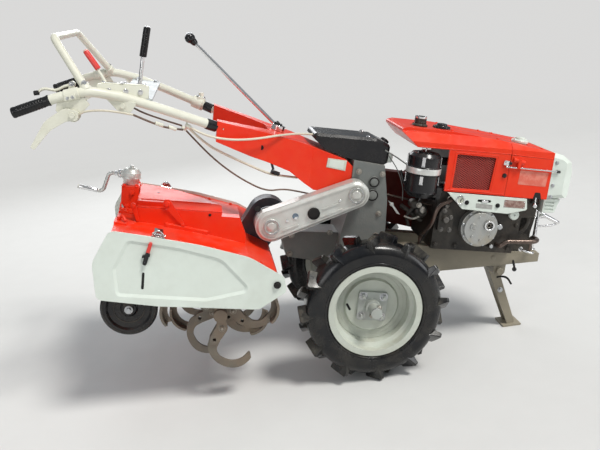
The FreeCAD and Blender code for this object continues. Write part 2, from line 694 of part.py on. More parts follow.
# Handle column and gearbox cover

def handle_column():
    """Sheet column that forks rearwards into two horns: side outline cut by the plan outline."""
    body = new_body("handle_column")
    side = [
        (-604, 614), (-451, 583), (-302, 548), (-202, 517), (-120, 493, 20), (-92.3, 470),
        (-92.3, 424), (-150, 372), (-232, 374), (-276, 402), (-328, 440), (-404, 469), (-479, 494),
        (-604, 545)]
    pad(body, sketch(body, "XZ_Plane", [side]), 560, both=True)
    front = size.column_front_y
    rear = size.socket_y + size.horn_half_width
    fork = size.socket_y - size.horn_half_width
    for hand in (1, -1):
        flank = [(-80, front), (-250, front + 12), (-420, size.column_middle_y), (-620, rear), (-620, 300),
                 (-80, 300)]
        cut(body, sketch(body, "XY_Plane", [[(x, y * hand) for x, y in flank]]), size.through, both=True)
    notch = [(-620, fork), (-480, size.column_middle_y - 46, 20), (-412, 60, 30), (-412, -60, 30),
             (-480, 46 - size.column_middle_y, 20), (-620, -fork)]
    cut(body, sketch(body, "XY_Plane", [notch]), size.through, both=True)
    for side in (1, -1):
        inner, outer = bar_points(side)[:2]
        along = (outer - inner).normalize()
        bore = sketch(body, "XY_Plane", circles=[(0, 0, size.bar_radius + size.seat_gap)])
        bore.AttachmentOffset = Placement(
            inner - along * float(size.seat_gap), Rotation(Vector(0, 0, 1), along))
        cut(body, bore, size.socket_depth * 2, back=True)
    return body


def top_cover():
    """Low domed cover over the gear change, on top of the gearbox and the column's front."""
    body = new_body("top_cover")
    outline = [(-248, 562), (-244, 580, 13), (-10, 578, 20), (44, 556, 16), (40, 490), (26, 484.3),
               (-92, 494.3), (-124, 500), (-202, 524)]
    pad(body, sketch(body, "XZ_Plane", [outline]), size.cover_half_width * 2, both=True)
    for side in (1, -1):
        edge_y = size.cover_half_width * side
        soften(body, 10, lambda edge: on_side(edge, edge_y) and low_point(edge) > 565)
    return body


# Rotary tiller

def side_panel(side, hand):
    """Side shield of the tiller with a pressed-in field and the slot of its depth lever."""
    body = new_body(f"tiller_panel_{hand}")
    face = size.panel_y
    inner = face - size.panel_sheet
    outside = side > 0
    plate = sketch(body, "XZ_Plane", [list(PANEL_OUTLINE)], shift=(0, 0, inner * -side))
    pad(body, plate, size.panel_sheet, back=outside)
    middle_x, middle_z = PANEL_MIDDLE
    backing = [(middle_x + (x - middle_x) * 1.01, middle_z + (z - middle_z) * 1.03, radius)
               for x, z, radius in PANEL_FIELD]
    swell = sketch(body, "XZ_Plane", [backing], shift=(0, 0, (inner + 1) * -side))
    pad(body, swell, size.panel_emboss + 1, back=not outside)
    field = sketch(body, "XZ_Plane", [list(PANEL_FIELD)], shift=(0, 0, face * -side))
    feature = cut(body, field, size.panel_emboss, back=outside)
    feature.TaperAngle = PANEL_BEVEL
    slot = sketch(body, "XZ_Plane", shift=(0, 0, face * -side))
    add_belt(slot, (-814, 56, size.panel_slot / 2), (-814, 108, size.panel_slot / 2))
    cut(body, slot, size.panel_emboss * 3, back=outside)
    seat = face - size.panel_emboss - 1
    lever = sketch(body, "XZ_Plane", shift=(0, 0, seat * -side))
    add_belt(lever, (-811, 150, 6), (-797, 206, 5))
    pad(body, lever, size.panel_emboss + 7, back=outside)
    knob = sketch(body, "XZ_Plane", circles=[(-366, 96, 8)], shift=(0, 0, (face - 1) * -side))
    pad(body, knob, 6, back=outside)
    return body


# Side shield's outline: x, z, corner radius
PANEL_OUTLINE = (
    (-930, 250, 30), (-981, 136, 60), (-962, 8, 24), (-760, -4, 200), (-420, 2, 40), (-331, 72, 16),
    (-343, 124, 14), (-467, 187, 160), (-635, 219, 300), (-799, 238, 300))
PANEL_FIELD = (
    (-872, 222, 24), (-914, 120, 24), (-900, 24, 20), (-600, 22, 40), (-445, 66, 20), (-560, 176, 80),
    (-700, 204, 80))
PANEL_MIDDLE = (-700, 120)
PANEL_BEVEL = -65


def tiller_hood():
    """Hood over the tines: shelf out to the side shields and a raised box with a sloping roof edge."""
    body = new_body("tiller_hood")
    sheet = size.hood_sheet
    wall = size.hood_box_y
    foot = 174
    plan = [(x, y) if y > -150 else (x, -wall) for x, y in HOOD_BOX_PLAN]
    box = sketch(body, "XY_Plane", [plan], shift=(0, 0, foot))
    pad(body, box, size.hood_box_z - foot)
    front = [(-561, 400), (-561, 271), (-497, 271), (-470, 209), (-400, 209), (-400, 400)]
    cut(body, sketch(body, "XZ_Plane", [front]), size.through, both=True)
    slope = [(-wall - 1, size.hood_wall_z), (-wall, size.hood_wall_z),
             (size.hood_roof_slope - wall, size.hood_box_z), (size.hood_roof_slope - wall, 320),
             (-wall - 1, 320)]
    cut(body, sketch(body, "YZ_Plane", [slope], shift=(0, 0, -755)), 200, back=True)
    ledge = [(-870, -wall - 1), (-755, -wall - 1), (-755, 34 - wall), (-870, 34 - wall)]
    cut(body, sketch(body, "XY_Plane", [ledge], shift=(0, 0, size.hood_wall_z)), 60, back=True)
    top = list(HOOD_SHELF)
    under = [(x, z - sheet) for x, z in reversed(HOOD_SHELF)]
    width = (size.panel_y - size.panel_sheet - size.seat_gap) * 2
    pad(body, sketch(body, "XZ_Plane", [top + under]), width, both=True)
    hollow = [(-858 + sheet, sheet - wall), (-858 + sheet, 92), (-775, 72), (-640, -46), (-570, -146),
              (-570, sheet - wall)]
    cut(body, sketch(body, "XY_Plane", [hollow], shift=(0, 0, 100)),
        size.hood_wall_z - sheet * 1.5 - 100, back=True)
    nose = [(-571, sheet - wall), (-571, -144 - sheet), (-502, -144 - sheet), (-502, sheet - wall)]
    cut(body, sketch(body, "XY_Plane", [nose], shift=(0, 0, 100)), 165, back=True)
    strip = sketch(body, "XZ_Plane", [[(-755, 218), (-755, 236), (-606, 216), (-606, 200)]],
                   shift=(0, 0, wall - 1))
    pad(body, strip, 15)
    for eye, arm_end in HOOD_LEVERS:
        lever = sketch(body, "XZ_Plane", shift=(0, 0, wall - 1))
        add_belt(lever, eye, arm_end)
        pad(body, lever, 8)
    notch = [(-960, size.notch_half_width), (-960, -size.notch_half_width),
             (-864, -size.notch_half_width), (-864, size.notch_half_width)]
    cut(body, sketch(body, "XY_Plane", [notch]), size.through, both=True)
    throat_side = size.leg_half_width + size.seat_gap
    throat = [(-300, throat_side), (-300, -throat_side), (-520, -throat_side), (-520, throat_side)]
    cut(body, sketch(body, "XY_Plane", [throat]), size.through, both=True)
    return body


# Hood shelf, rear to front: x, z of the upper surface
HOOD_SHELF = ((-925, 240), (-799, 228), (-635, 208), (-467, 176), (-372, 138), (-352, 96))
# Raised box in plan: x, y; the last corners lie on its wall
HOOD_BOX_PLAN = ((-858, -190), (-858, 111), (-775, 81), (-714, 37), (-638, -38), (-560, -144),
                 (-470, -144), (-470, -190))
# Lever plates on the raised box's wall: x, z, radius of the eye and of the arm's end
HOOD_LEVERS = (
    ((-753, 306, 15), (-694, 233, 5)),
    ((-868, 290, 9), (-851, 240, 5)),
)


def tiller_drive():
    """Centre drive of the tiller: cross tube from the chain case and the leg down to the tine shaft."""
    body = new_body("tiller_drive")
    drawing = sketch(body, "XZ_Plane")
    head = (size.case_lower_x, size.case_lower_z)
    add_belt(drawing, (size.rotor_x, size.rotor_z, size.leg_foot_radius),
             (*head, size.leg_head_radius))
    pad(body, drawing, size.leg_half_width * 2, both=True)
    tube = sketch(body, "XZ_Plane", circles=[(*head, size.cross_tube_radius)])
    pad(body, tube, size.case_inner_y - size.seat_gap)
    flange = sketch(body, "XZ_Plane", circles=[(*head, size.case_lower_radius + 2)],
                    shift=(0, 0, size.case_inner_y - size.seat_gap - 12))
    pad(body, flange, 12)
    bore = sketch(body, "XZ_Plane", circles=[(
        size.rotor_x, size.rotor_z, size.rotor_shaft_radius + size.running_fit)])
    cut(body, bore, size.leg_half_width * 2 + 2, both=True)
    return body


# Pairs of tines on each half of the shaft, from the middle out: first blade's turn, side of its bend
TINE_PAIRS = (
    (72, 1),
    (144, 1),
    (216, -1),
    (288, 1),
    (0, -1),
)
# A tine's outline: share of the tip circle's radius, degrees ahead of the straight-down line
TINE_OUTER = ((0.365, -20), (0.583, -17), (0.796, -4.5), (0.919, 7), (0.992, 19), (0.94, 37.6))
TINE_INNER = ((0.825, 38), (0.868, 22), (0.791, 9), (0.697, 1.2), (0.588, -1), (0.358, 12))
# Bolt and hole of a tine's holder, then its outline: x, z from the shaft
TINE_HOLDER = ((9, -47), (-14, -92))
TINE_HOLDER_OUTLINE = (
    (-9, -16), (-10, -40), (-30, -84), (-31, -100), (-20, -110), (-4, -108), (4, -98), (27, -56),
    (29, -44), (24, -32), (22, -16))


def tine(place_y, turn, bend):
    """One curved tine: bolted holder, J-shaped blade in its own plane and the tip bent sideways."""
    reach = float(size.tine_radius)
    thick = float(size.tine_thickness)

    def spots(table, inward=0.0):
        found = []
        for share, degrees in table:
            angle = math.radians(degrees)
            far = reach * share - inward
            found.append(Vector(far * math.sin(angle), 0, -far * math.cos(angle)))
        return found

    outer = spots(TINE_OUTER)
    inner = spots(TINE_INNER)
    blade = flat_form([
        Part.LineSegment(outer[0], outer[1]), Part.Arc(*outer[1:4]), Part.Arc(*outer[3:6]),
        Part.LineSegment(outer[5], inner[0]), Part.Arc(*inner[0:3]), Part.Arc(*inner[2:5]),
        Part.LineSegment(inner[4], inner[5]), Part.LineSegment(inner[5], outer[0])], thick)
    blade.translate(Vector(0, -thick / 2, 0))
    tip = spots(TINE_OUTER[3:])
    tip_back = spots(TINE_OUTER[3:], thick)
    scoop = flat_form([
        Part.Arc(*tip), Part.LineSegment(tip[2], tip_back[2]), Part.Arc(*reversed(tip_back)),
        Part.LineSegment(tip_back[0], tip[0])], bend * float(size.tine_bend))
    deep = float(size.tine_holder)
    boss, end = TINE_HOLDER
    holder = flat_polygon(TINE_HOLDER_OUTLINE, deep)
    bolt = flat_polygon(ring_points(*boss[:2], 10, 6), deep + 12)
    hole = flat_polygon(ring_points(*end[:2], 8, 4), deep * 2)
    form = blade.fuse([scoop, holder, bolt]).cut(hole)
    across = Vector(0, 1, 0)
    form.rotate(Vector(0, 0, 0), across, turn)
    form.translate(Vector(float(size.rotor_x), place_y, float(size.rotor_z)))
    return form


def ring_points(x, z, radius, count):
    """Corners of a regular outline: x, z."""
    turns = [2 * math.pi * (step + 0.5) / count for step in range(count)]
    return [(x + radius * math.cos(turn), z + radius * math.sin(turn)) for turn in turns]


def flat_polygon(corners, depth):
    """Prism with a straight-sided outline in the XZ plane, even to both sides of it."""
    spots = [Vector(float(x), -depth / 2, float(z)) for x, z in corners]
    return Part.Face(Part.makePolygon(spots + spots[:1])).extrude(Vector(0, depth, 0))


def flat_form(curves, depth):
    """Solid between a closed outline in the XZ plane and its copy at a depth along y."""
    outline = Part.Wire([curve.toShape() for curve in curves])
    return Part.Face(outline).extrude(Vector(0, depth, 0))


def tine_rotor():
    """Tine shaft with its flanges and pairs of curved tines, spiralled along both halves."""
    centre = Vector(float(size.rotor_x), 0, float(size.rotor_z))
    half = float(size.tine_first + size.tine_pitch * (len(TINE_PAIRS) - 1) + size.shaft_end)
    across = Vector(0, 1, 0)
    shaft = Part.makeCylinder(float(size.rotor_shaft_radius), 2 * half, centre - across * half, across)
    forms = []
    for side in (1, -1):
        for index, (turn, bend) in enumerate(TINE_PAIRS):
            station = float(size.tine_first + size.tine_pitch * index)
            for flip in (0, 180):
                forms.append(tine(side * station, turn + flip + 90 * (side > 0), side * bend))
    return finished("tine_rotor", shaft.fuse(forms).removeSplitter())


def gauge_guide():
    """Square guide tube of the gauge leg, its ribs to the hood's rear and the crank's gear head."""
    body = new_body("gauge_guide")
    outer = size.gauge_leg_width / 2 + size.guide_clearance + size.guide_wall
    inner = size.gauge_leg_width / 2 + size.guide_clearance
    x = size.gauge_leg_x
    drawing = sketch(body, "XY_Plane", [
        [(x - outer, -outer), (x + outer, -outer), (x + outer, outer), (x - outer, outer)],
        [(x - inner, -inner), (x + inner, -inner), (x + inner, inner), (x - inner, inner)]],
        shift=(0, 0, size.guide_foot_z))
    pad(body, drawing, size.crank_z - 30 - size.guide_foot_z)
    seat = -858 - size.seat_gap
    rib = sketch(body, "XZ_Plane", [[(x + outer - 1, 236), (x + outer - 1, 300), (seat, 276),
                                     (seat, 236)]])
    pad(body, rib, 12, both=True)
    crown = size.crank_z - 30
    flange = sketch(body, "XY_Plane", [
        [(x - 30, -46), (x + 32, -46), (x + 32, 46), (x - 30, 46)],
        [(x - inner, -inner), (x + inner, -inner), (x + inner, inner), (x - inner, inner)]],
        shift=(0, 0, crown - 7))
    pad(body, flange, 7)
    for side in (1, -1):
        cheek = sketch(body, "XZ_Plane", [[
            (x - 30, crown - 3), (x - 30, 262), (x - 12, 232), (x + 24, 232), (x + 32, 256),
            (x + 32, crown - 3)]],
            shift=(0, 0, side * 43))
        pad(body, cheek, 6, both=True)
    return body


def crank_head():
    """Domed gear head on top of the guide tube."""
    body = new_body("crank_head")
    base = size.crank_z - 30 + size.seat_gap
    top = size.crank_z + 32
    profile = [(0, base), (26, base), (30, size.crank_z - 10), (34, size.crank_z - 4),
               (34, size.crank_z + 14), (24, top - 4, 6), (0, top)]
    spin(body, sketch(body, "XZ_Plane", [profile], shift=(size.gauge_leg_x, 0, 0)), "V_Axis")
    snout = sketch(body, "YZ_Plane", circles=[(0, size.crank_z + 6, 14)],
                   shift=(0, 0, size.gauge_leg_x - 48))
    pad(body, snout, 40)
    return body


def crank_handle():
    """Cranked handle at the back of the gear head."""
    z = float(size.crank_z) + 6
    x = float(size.gauge_leg_x) - 48 - float(size.seat_gap)
    points = [(x, 0, z), (x - 32, 0, z), (x - 52, 0, z - 72), (x - 142, 0, z - 58)]
    return finished("crank_handle", bent_rod(points, 7, 18))


def gauge_leg():
    """Square leg that slides in the guide, with the fork and the pin of the gauge wheel."""
    body = new_body("gauge_leg")
    half = size.gauge_leg_width / 2
    x = size.gauge_leg_x
    drawing = sketch(body, "XY_Plane", [[(x - half, -half), (x + half, -half), (x + half, half),
                                         (x - half, half)]], shift=(0, 0, size.fork_top_z - 1))
    pad(body, drawing, size.gauge_leg_top_z - size.fork_top_z + 1)
    inner = size.gauge_width / 2 + size.gauge_side_gap
    outer = inner + size.fork_arm
    crown = sketch(body, "XZ_Plane", [[
        (x - half, size.fork_top_z - 14), (x + half, size.fork_top_z - 14),
        (x + half, size.fork_top_z), (x - half, size.fork_top_z)]])
    pad(body, crown, outer * 2, both=True)
    for side in (1, -1):
        arm = sketch(body, "XZ_Plane", shift=(0, 0, side * (inner + size.fork_arm / 2)))
        add_belt(arm, (size.gauge_x, size.gauge_z, 17), (x, size.fork_top_z - 16, 15))
        pad(body, arm, size.fork_arm, both=True)
    pin = sketch(body, "XZ_Plane", circles=[(size.gauge_x, size.gauge_z, size.gauge_pin_radius)])
    pad(body, pin, outer * 2, both=True)
    return body


def gauge_wheel():
    """Solid gauge wheel with a dished face and a bore for its pin."""
    body = new_body("gauge_wheel")
    half = size.gauge_width / 2
    bore = size.gauge_pin_radius + size.running_fit
    rim_edge = size.gauge_radius
    profile = [(-half, bore), (-half, 26), (8 - half, 34), (8 - half, rim_edge - 30),
               (-half, rim_edge - 22), (-half, rim_edge - 8), (8 - half, rim_edge),
               (half - 8, rim_edge), (half, rim_edge - 8), (half, rim_edge - 22),
               (half - 8, rim_edge - 30), (half - 8, 34), (half, 26), (half, bore)]
    spin(body, sketch(body, "YZ_Plane", [profile], shift=(0, size.gauge_z, size.gauge_x)))
    return body


# Chassis, stand and guard

def chassis():
    """Two tapering side beams with inward flanges, front cross member and the stand's pivot pin."""
    body = new_body("chassis")
    top = size.beam_top_z
    start = size.gearbox_front_x + size.seat_gap
    web = [(start, top - size.beam_rear_depth), (start + 230, top - size.beam_rear_depth),
           (size.beam_front_x, top - size.beam_front_depth), (size.beam_front_x, top), (start, top)]
    flange = [(start, top - size.beam_sheet), (size.beam_front_x, top - size.beam_sheet),
              (size.beam_front_x, top), (start, top)]
    for side in (1, -1):
        plate = sketch(body, "XZ_Plane", [web], shift=(0, 0, side * (size.beam_y - size.beam_sheet / 2)))
        pad(body, plate, size.beam_sheet, both=True)
        ledge = sketch(body, "XZ_Plane", [flange],
                       shift=(0, 0, side * (size.beam_y - size.beam_flange / 2)))
        pad(body, ledge, size.beam_flange, both=True)
    inner = size.beam_y - size.beam_sheet / 2
    for x_start, x_end, depth in ((size.beam_front_x - 40, size.beam_front_x, size.beam_front_depth),
                                  (start, start + 40, size.beam_rear_depth)):
        tie = sketch(body, "XZ_Plane", [[(x_start, top - depth), (x_end, top - depth), (x_end, top),
                                         (x_start, top)]])
        pad(body, tie, inner * 2, both=True)
    pin = sketch(body, "XZ_Plane", circles=[(size.stand_x, size.stand_z, size.stand_pin_radius)])
    pad(body, pin, inner * 2, both=True)
    ears = sketch(body, "XZ_Plane", [[
        (size.stand_x - 24, size.stand_z + 48), (size.stand_x - 24, size.stand_z - 22, 22),
        (size.stand_x + 24, size.stand_z - 22, 22), (size.stand_x + 24, size.stand_z + 48)]])
    pad(body, ears, inner * 2, both=True)
    gap = size.stand_half_width + size.stand_side_gap
    waist = sketch(body, "XZ_Plane", circles=[(size.stand_x, size.stand_z, size.stand_head_room)])
    waist_ring = waist.addGeometry(Part.Circle(Vector(float(size.stand_x), float(size.stand_z), 0),
                                               Vector(0, 0, 1), float(size.stand_pin_radius)), False)
    row = waist.addConstraint(Sketcher.Constraint("Radius", waist_ring, float(size.stand_pin_radius)))
    bind(waist, f"Constraints[{row}]", size.stand_pin_radius)
    for kind, value in (("DistanceX", size.stand_x), ("DistanceY", size.stand_z)):
        row = waist.addConstraint(Sketcher.Constraint(kind, -1, 1, waist_ring, 3, float(value)))
        bind(waist, f"Constraints[{row}]", value)
    cut(body, waist, gap * 2, both=True)
    hole = sketch(body, "XZ_Plane", circles=[(506, 156, 8)])
    cut(body, hole, size.through, both=True)
    return body


def front_stand():
    """Folding centre stand: channel leg on a pivot pin with a flat foot plate."""
    body = new_body("front_stand")
    pivot = (size.stand_x, size.stand_z)
    foot = (size.stand_foot_x, size.stand_foot_z)
    leg = sketch(body, "XZ_Plane")
    add_belt(leg, (*foot, 16), (*pivot, 20))
    pad(body, leg, size.stand_half_width * 2, both=True)
    channel = sketch(body, "XZ_Plane")
    add_belt(channel, (foot[0] - 16, foot[1] - 8, 12), (pivot[0] - 20, pivot[1] - 36, 12))
    cut(body, channel, (size.stand_half_width - 6) * 2, both=True)
    bore = sketch(body, "XZ_Plane", circles=[(*pivot, size.stand_pin_radius + size.running_fit)])
    cut(body, bore, size.stand_half_width * 2 + 2, both=True)
    lean = float(size.park_pitch)
    plate = sketch(body, "XZ_Plane", [[(-34, -8), (40, -8), (44, -2), (40, 0), (-34, 0)]],
                   shift=(foot[0], foot[1] - 10, 0), turn=lean)
    pad(body, plate, size.stand_foot_width, both=True)
    return body


def front_guard():
    """Polished hoop in front of the engine, carried by the front cross member."""
    y = float(size.guard_y)
    foot = float(size.beam_top_z) + float(size.seat_gap)
    points = [(678, -y, foot), (678, -y, 338), (775, -y, 300), (775, y, 300), (678, y, 338),
              (678, y, foot)]
    return finished("front_guard", bent_rod(points, 7, 20))


# Engine and its covers

def engine_block():
    """Crankcase and cylinder block as one closed casting, standing on the beams."""
    body = new_body("engine_block")
    foot = size.beam_top_z + size.seat_gap
    outline = [(236, foot), (560, foot), (575, 240, 20), (575, 330), (630, 335), (630, size.deck_z),
               (250, size.deck_z), (236, 360, 20)]
    pad(body, sketch(body, "XZ_Plane", [outline]), size.block_half_width * 2, both=True)
    rear = size.block_rear_x
    upper = sketch(body, "XZ_Plane", [[(rear, size.deck_z - 1), (470, size.deck_z - 1),
                                       (470, size.hood_seat_z), (rear, size.hood_seat_z)]])
    pad(body, upper, size.block_half_width * 2, both=True)
    side = size.block_half_width - 1
    pump = sketch(body, "XZ_Plane", [[(244, 262, 6), (300, 262, 6), (300, 322, 6), (284, 352, 6),
                                      (254, 352, 6), (244, 330, 6)]], shift=(0, 0, side))
    pad(body, pump, 24)
    for x, z, radius, height in BLOCK_BOSSES:
        boss = sketch(body, "XZ_Plane", circles=[(x, z, radius)], shift=(0, 0, side))
        pad(body, boss, height + 1)
    return body


# Bosses and plugs on the right side of the crankcase: x, z, radius, height
BLOCK_BOSSES = (
    (466, 216, 9, 22),
    (268, 310, 13, 30),
    (548, 232, 12, 8),
)


def gear_case():
    """Round timing gear case on the right with the crank hole's ring."""
    body = new_body("gear_case")
    centre = (size.crankshaft_x, size.crankshaft_z)
    base = size.block_half_width + size.seat_gap
    depth = size.gear_case_depth
    pad(body, sketch(body, "XZ_Plane", circles=[(*centre, size.gear_case_radius)], shift=(0, 0, base)), depth)
    step = sketch(body, "XZ_Plane", circles=[(*centre, size.gear_case_radius - 9)],
                  shift=(0, 0, base + depth - 1))
    pad(body, step, 15)
    for across, up, radius, height in GEAR_CASE_RINGS:
        spot = (centre[0] + across, centre[1] + up)
        ring = sketch(body, "XZ_Plane", circles=[(*spot, radius)], shift=(0, 0, base + depth + 13))
        pad(body, ring, height + 1)
        hole = sketch(body, "XZ_Plane", circles=[(*spot, radius - 7)], shift=(0, 0, base + depth))
        cut(body, hole, 60, back=True)
    return body


# Rings on the gear case: x and z from the crankshaft, radius, height
GEAR_CASE_RINGS = (
    (30, 16, 20, 8),
    (-28, 5, 14, 4),
)


def belt_guard():
    """Guard over the flywheel and the drive belts on the left."""
    body = new_body("belt_guard")
    drawing = sketch(body, "XZ_Plane", shift=(0, 0, -(size.block_half_width + size.seat_gap)))
    add_belt(drawing, (size.clutch_x, size.clutch_z, size.guard_rear_radius),
             (size.crankshaft_x, size.crankshaft_z, size.guard_front_radius))
    pad(body, drawing, size.guard_depth, back=True)
    outer = size.block_half_width + size.seat_gap + size.guard_depth
    soften(body, 8, lambda edge: on_side(edge, outer))
    return body


def hood():
    """Top hood with its overhanging rear end, chamfered along both sides."""
    body = new_body("hood")
    rest = size.hood_seat_z + size.seat_gap
    outline = [(122, rest), (60, 626, 8), (90, 636, 12), (250, 634, 30), (453, 616, 60), (648, 592),
               (648, 566.3), (482, rest)]
    pad(body, sketch(body, "XZ_Plane", [outline]), size.cover_y * 2, both=True)
    for side in (1, -1):
        corner = [(size.cover_y * side, 592), (size.cover_y * side, 680),
                  ((size.cover_y - 40) * side, 680), ((size.cover_y - 40) * side, 622)]
        cut(body, sketch(body, "YZ_Plane", [corner]), size.through, both=True)
    for x, z, radius, height, y in FILLER_CAPS:
        seat = sketch(body, "XY_Plane", circles=[(x, y, radius + 2)], shift=(0, 0, z))
        cut(body, seat, height + 12, back=True)
    flank = size.cover_y - 1.5
    seam = sketch(body, "YZ_Plane", [[
        (-flank - 9, rest), (-flank, rest), (-flank, 591), (-flank + 26, 611), (flank - 26, 611),
        (flank, 591), (flank, rest), (flank + 9, rest), (flank + 9, 640), (-flank - 9, 640)]],
        shift=(0, 0, 480))
    cut(body, seam, 2, back=True)
    return body


def mesh_panel(side, hand):
    """Side panel of the engine bay, with a window and the rebate that holds its mesh sheet."""
    body = new_body(f"mesh_panel_{hand}")
    outline = [(243, size.hood_seat_z), (479, size.hood_seat_z), (479, 416), (245, 418)]
    thick = size.cover_sheet
    outside = side > 0
    pad(body, sketch(body, "XZ_Plane", [outline], shift=(0, 0, (size.cover_y - thick) * -side)),
        thick, back=outside)
    window = [(x, z, 6) for x, z in MESH_WINDOW]
    cut(body, sketch(body, "XZ_Plane", [window], shift=(0, 0, size.cover_y * -side)), thick * 2,
        back=outside)
    rebate = sketch(body, "XZ_Plane", [mesh_outline(size.mesh_lap + size.seat_gap)],
                    shift=(0, 0, (size.cover_y - size.mesh_depth) * -side))
    cut(body, rebate, thick, back=outside)
    return body


# Window in an engine side panel: x, z
MESH_WINDOW = ((275, 558), (425, 556), (417, 432), (273, 432))


def mesh_outline(lap):
    """The window's outline, larger by a lap on every side."""
    middle_x, middle_z = 348, 494
    return [(x + lap * (1 if x > middle_x else -1), z + lap * (1 if z > middle_z else -1))
            for x, z in MESH_WINDOW]


def engine_mesh(side, hand):
    """Sheet of diamond mesh behind the window of an engine side panel."""
    inner_y = float(size.mesh_y - size.mesh_sheet)
    start = inner_y if side > 0 else -inner_y - float(size.mesh_sheet)

    def face(corners):
        spots = [Vector(float(x), start, float(z)) for x, z in corners]
        return Part.Face(Part.makePolygon(spots + spots[:1]))

    half_x = float(size.mesh_pitch_x) / 2
    half_z = float(size.mesh_pitch_z) / 2
    share = 1 - float(size.mesh_strand) * math.hypot(half_x, half_z) / (2 * half_x * half_z)
    reach_x, reach_z = half_x * share, half_z * share
    holes = []
    for row in range(math.ceil(130 / half_z)):
        for place in range(math.ceil(156 / (2 * half_x)) + 1):
            x = 270 + (2 * place + row % 2) * half_x
            z = 430 + row * half_z
            holes.append(face([(x - reach_x, z), (x, z - reach_z), (x + reach_x, z), (x, z + reach_z)]))
    window = face(MESH_WINDOW)
    openings = [piece for piece in window.common(Part.makeCompound(holes)).Faces if piece.Area > 12]
    sheet = face(mesh_outline(size.mesh_lap)).cut(Part.makeCompound(openings))
    return finished(f"engine_mesh_{hand}", sheet.Faces[0].extrude(Vector(0, float(size.mesh_sheet), 0)))


def radiator_housing():
    """Front housing between the panels and the cowl, a closed box over the radiator."""
    body = new_body("radiator_housing")
    rest = size.deck_z + size.seat_gap
    outline = [(482, size.hood_seat_z - 1), (648, 566), (648, rest), (480, rest)]
    pad(body, sketch(body, "XZ_Plane", [outline]), size.cover_y * 2, both=True)
    return body


def front_cowl():
    """Light front cowl with its rounded nose."""
    body = new_body("front_cowl")
    outline = [(648.3, 592), (690, 584, 20), (730, 558, 16), (744, 517, 40), (741, 424, 8), (648.3, 414)]
    pad(body, sketch(body, "XZ_Plane", [outline]), size.cover_y * 2, both=True)
    for side in (1, -1):
        edge_y = size.cover_y * side
        soften(body, 16, lambda edge: on_side(edge, edge_y) and low_point(edge) > 540)
    for side in (1, -1):
        corner = [(704, size.cover_y * side), (760, (size.cover_y + 4) * side),
                  (760, (size.cover_y - 40) * side)]
        cut(body, sketch(body, "XY_Plane", [corner]), size.through, both=True)
    return body


def lower_grille():
    """Louvred lower part under the cowl."""
    body = new_body("lower_grille")
    outline = [(648.3, 413.7), (712, 415), (698, 362, 6), (648.3, 358)]
    pad(body, sketch(body, "XZ_Plane", [outline]), size.grille_half_width * 2, both=True)
    for side in (1, -1):
        for z in (370, 384, 398):
            louvre = sketch(body, "XZ_Plane", [[(656, z), (656, z + 6), (692, z + 6), (690, z)]],
                            shift=(0, 0, size.grille_half_width * -side))
            cut(body, louvre, size.louvre_depth, back=side > 0)
    return body


def skirt_panel():
    """Lower light panel below the mesh panel on the right."""
    body = new_body("skirt_panel")
    outline = [(257, 415.5), (566, 413), (574, 371, 8), (499, 351), (321, 357, 10)]
    inner = size.skirt_y - size.skirt_sheet
    pad(body, sketch(body, "XZ_Plane", [outline], shift=(0, 0, inner)), size.skirt_sheet)
    seat = size.block_half_width + size.seat_gap
    bosses = sketch(body, "XZ_Plane", circles=[(335, 383, 9), (456, 380, 9)], shift=(0, 0, seat))
    pad(body, bosses, inner - seat + 1)
    ring = sketch(body, "XZ_Plane", circles=[(309, 391, 17), (309, 391, 12)],
                  shift=(0, 0, size.skirt_y - 1))
    pad(body, ring, 5)
    slot = sketch(body, "XZ_Plane", shift=(0, 0, size.skirt_y))
    add_belt(slot, (380, 393, 5), (424, 393, 5))
    cut(body, slot, 4)
    return body


def air_cleaner():
    """Upright air cleaner canister on the right behind the engine."""
    body = new_body("air_cleaner")
    radius = size.cleaner_radius
    profile = [(0, 386), (radius - 14, 386), (radius, 404), (radius, 470), (radius + 3, 473),
               (radius + 3, 499), (radius, 502), (radius, 535), (radius - 12, 549), (0, 549)]
    shift = (size.cleaner_x, 0, size.cleaner_y)
    spin(body, sketch(body, "XZ_Plane", [profile], shift=shift), "V_Axis")
    seat = size.block_rear_x - size.seat_gap
    bracket = sketch(body, "XZ_Plane", [[(size.cleaner_x, 420), (seat, 420), (seat, 440),
                                         (size.cleaner_x, 440)]], shift=(0, 0, size.cleaner_y - 13))
    pad(body, bracket, 32, both=True)
    intake = sketch(body, "YZ_Plane", circles=[(15 - size.cleaner_y, 520, 15)],
                    shift=(0, 0, size.cleaner_x))
    pad(body, intake, seat - size.cleaner_x)
    return body


def exhaust():
    """Exhaust stub standing on the hood."""
    body = new_body("exhaust")
    base = 635.4 + size.seat_gap
    profile = [(0, base), (28, base), (28, base + 5), (22, base + 9), (22, base + 36), (17, base + 36),
               (17, base + 14), (0, base + 14)]
    spin(body, sketch(body, "XZ_Plane", [profile], shift=(150, 0, 60)), "V_Axis")
    return body


def filler_caps():
    """Fuel filler cap and radiator cap on the hood."""
    body = new_body("filler_caps")
    body.AllowCompound = True
    for x, z, radius, height, y in FILLER_CAPS:
        cap = sketch(body, "XY_Plane", circles=[(x, y, radius)], shift=(0, 0, z + size.seat_gap))
        pad(body, cap, height)
        crown = sketch(body, "XY_Plane", circles=[(x, y, radius * 0.62)],
                       shift=(0, 0, z + size.seat_gap + height - 1))
        pad(body, crown, height * 0.5)
    oil_cap = sketch(body, "XZ_Plane", circles=[(536, 344, 19)],
                     shift=(0, 0, size.block_half_width + size.seat_gap))
    pad(body, oil_cap, 26)
    return body


# Caps: x, z of the seat, radius, height, y
FILLER_CAPS = (
    (234, 630, 32, 14, -60),
    (549, 597, 32, 20, -60),
)


# Handles and controls

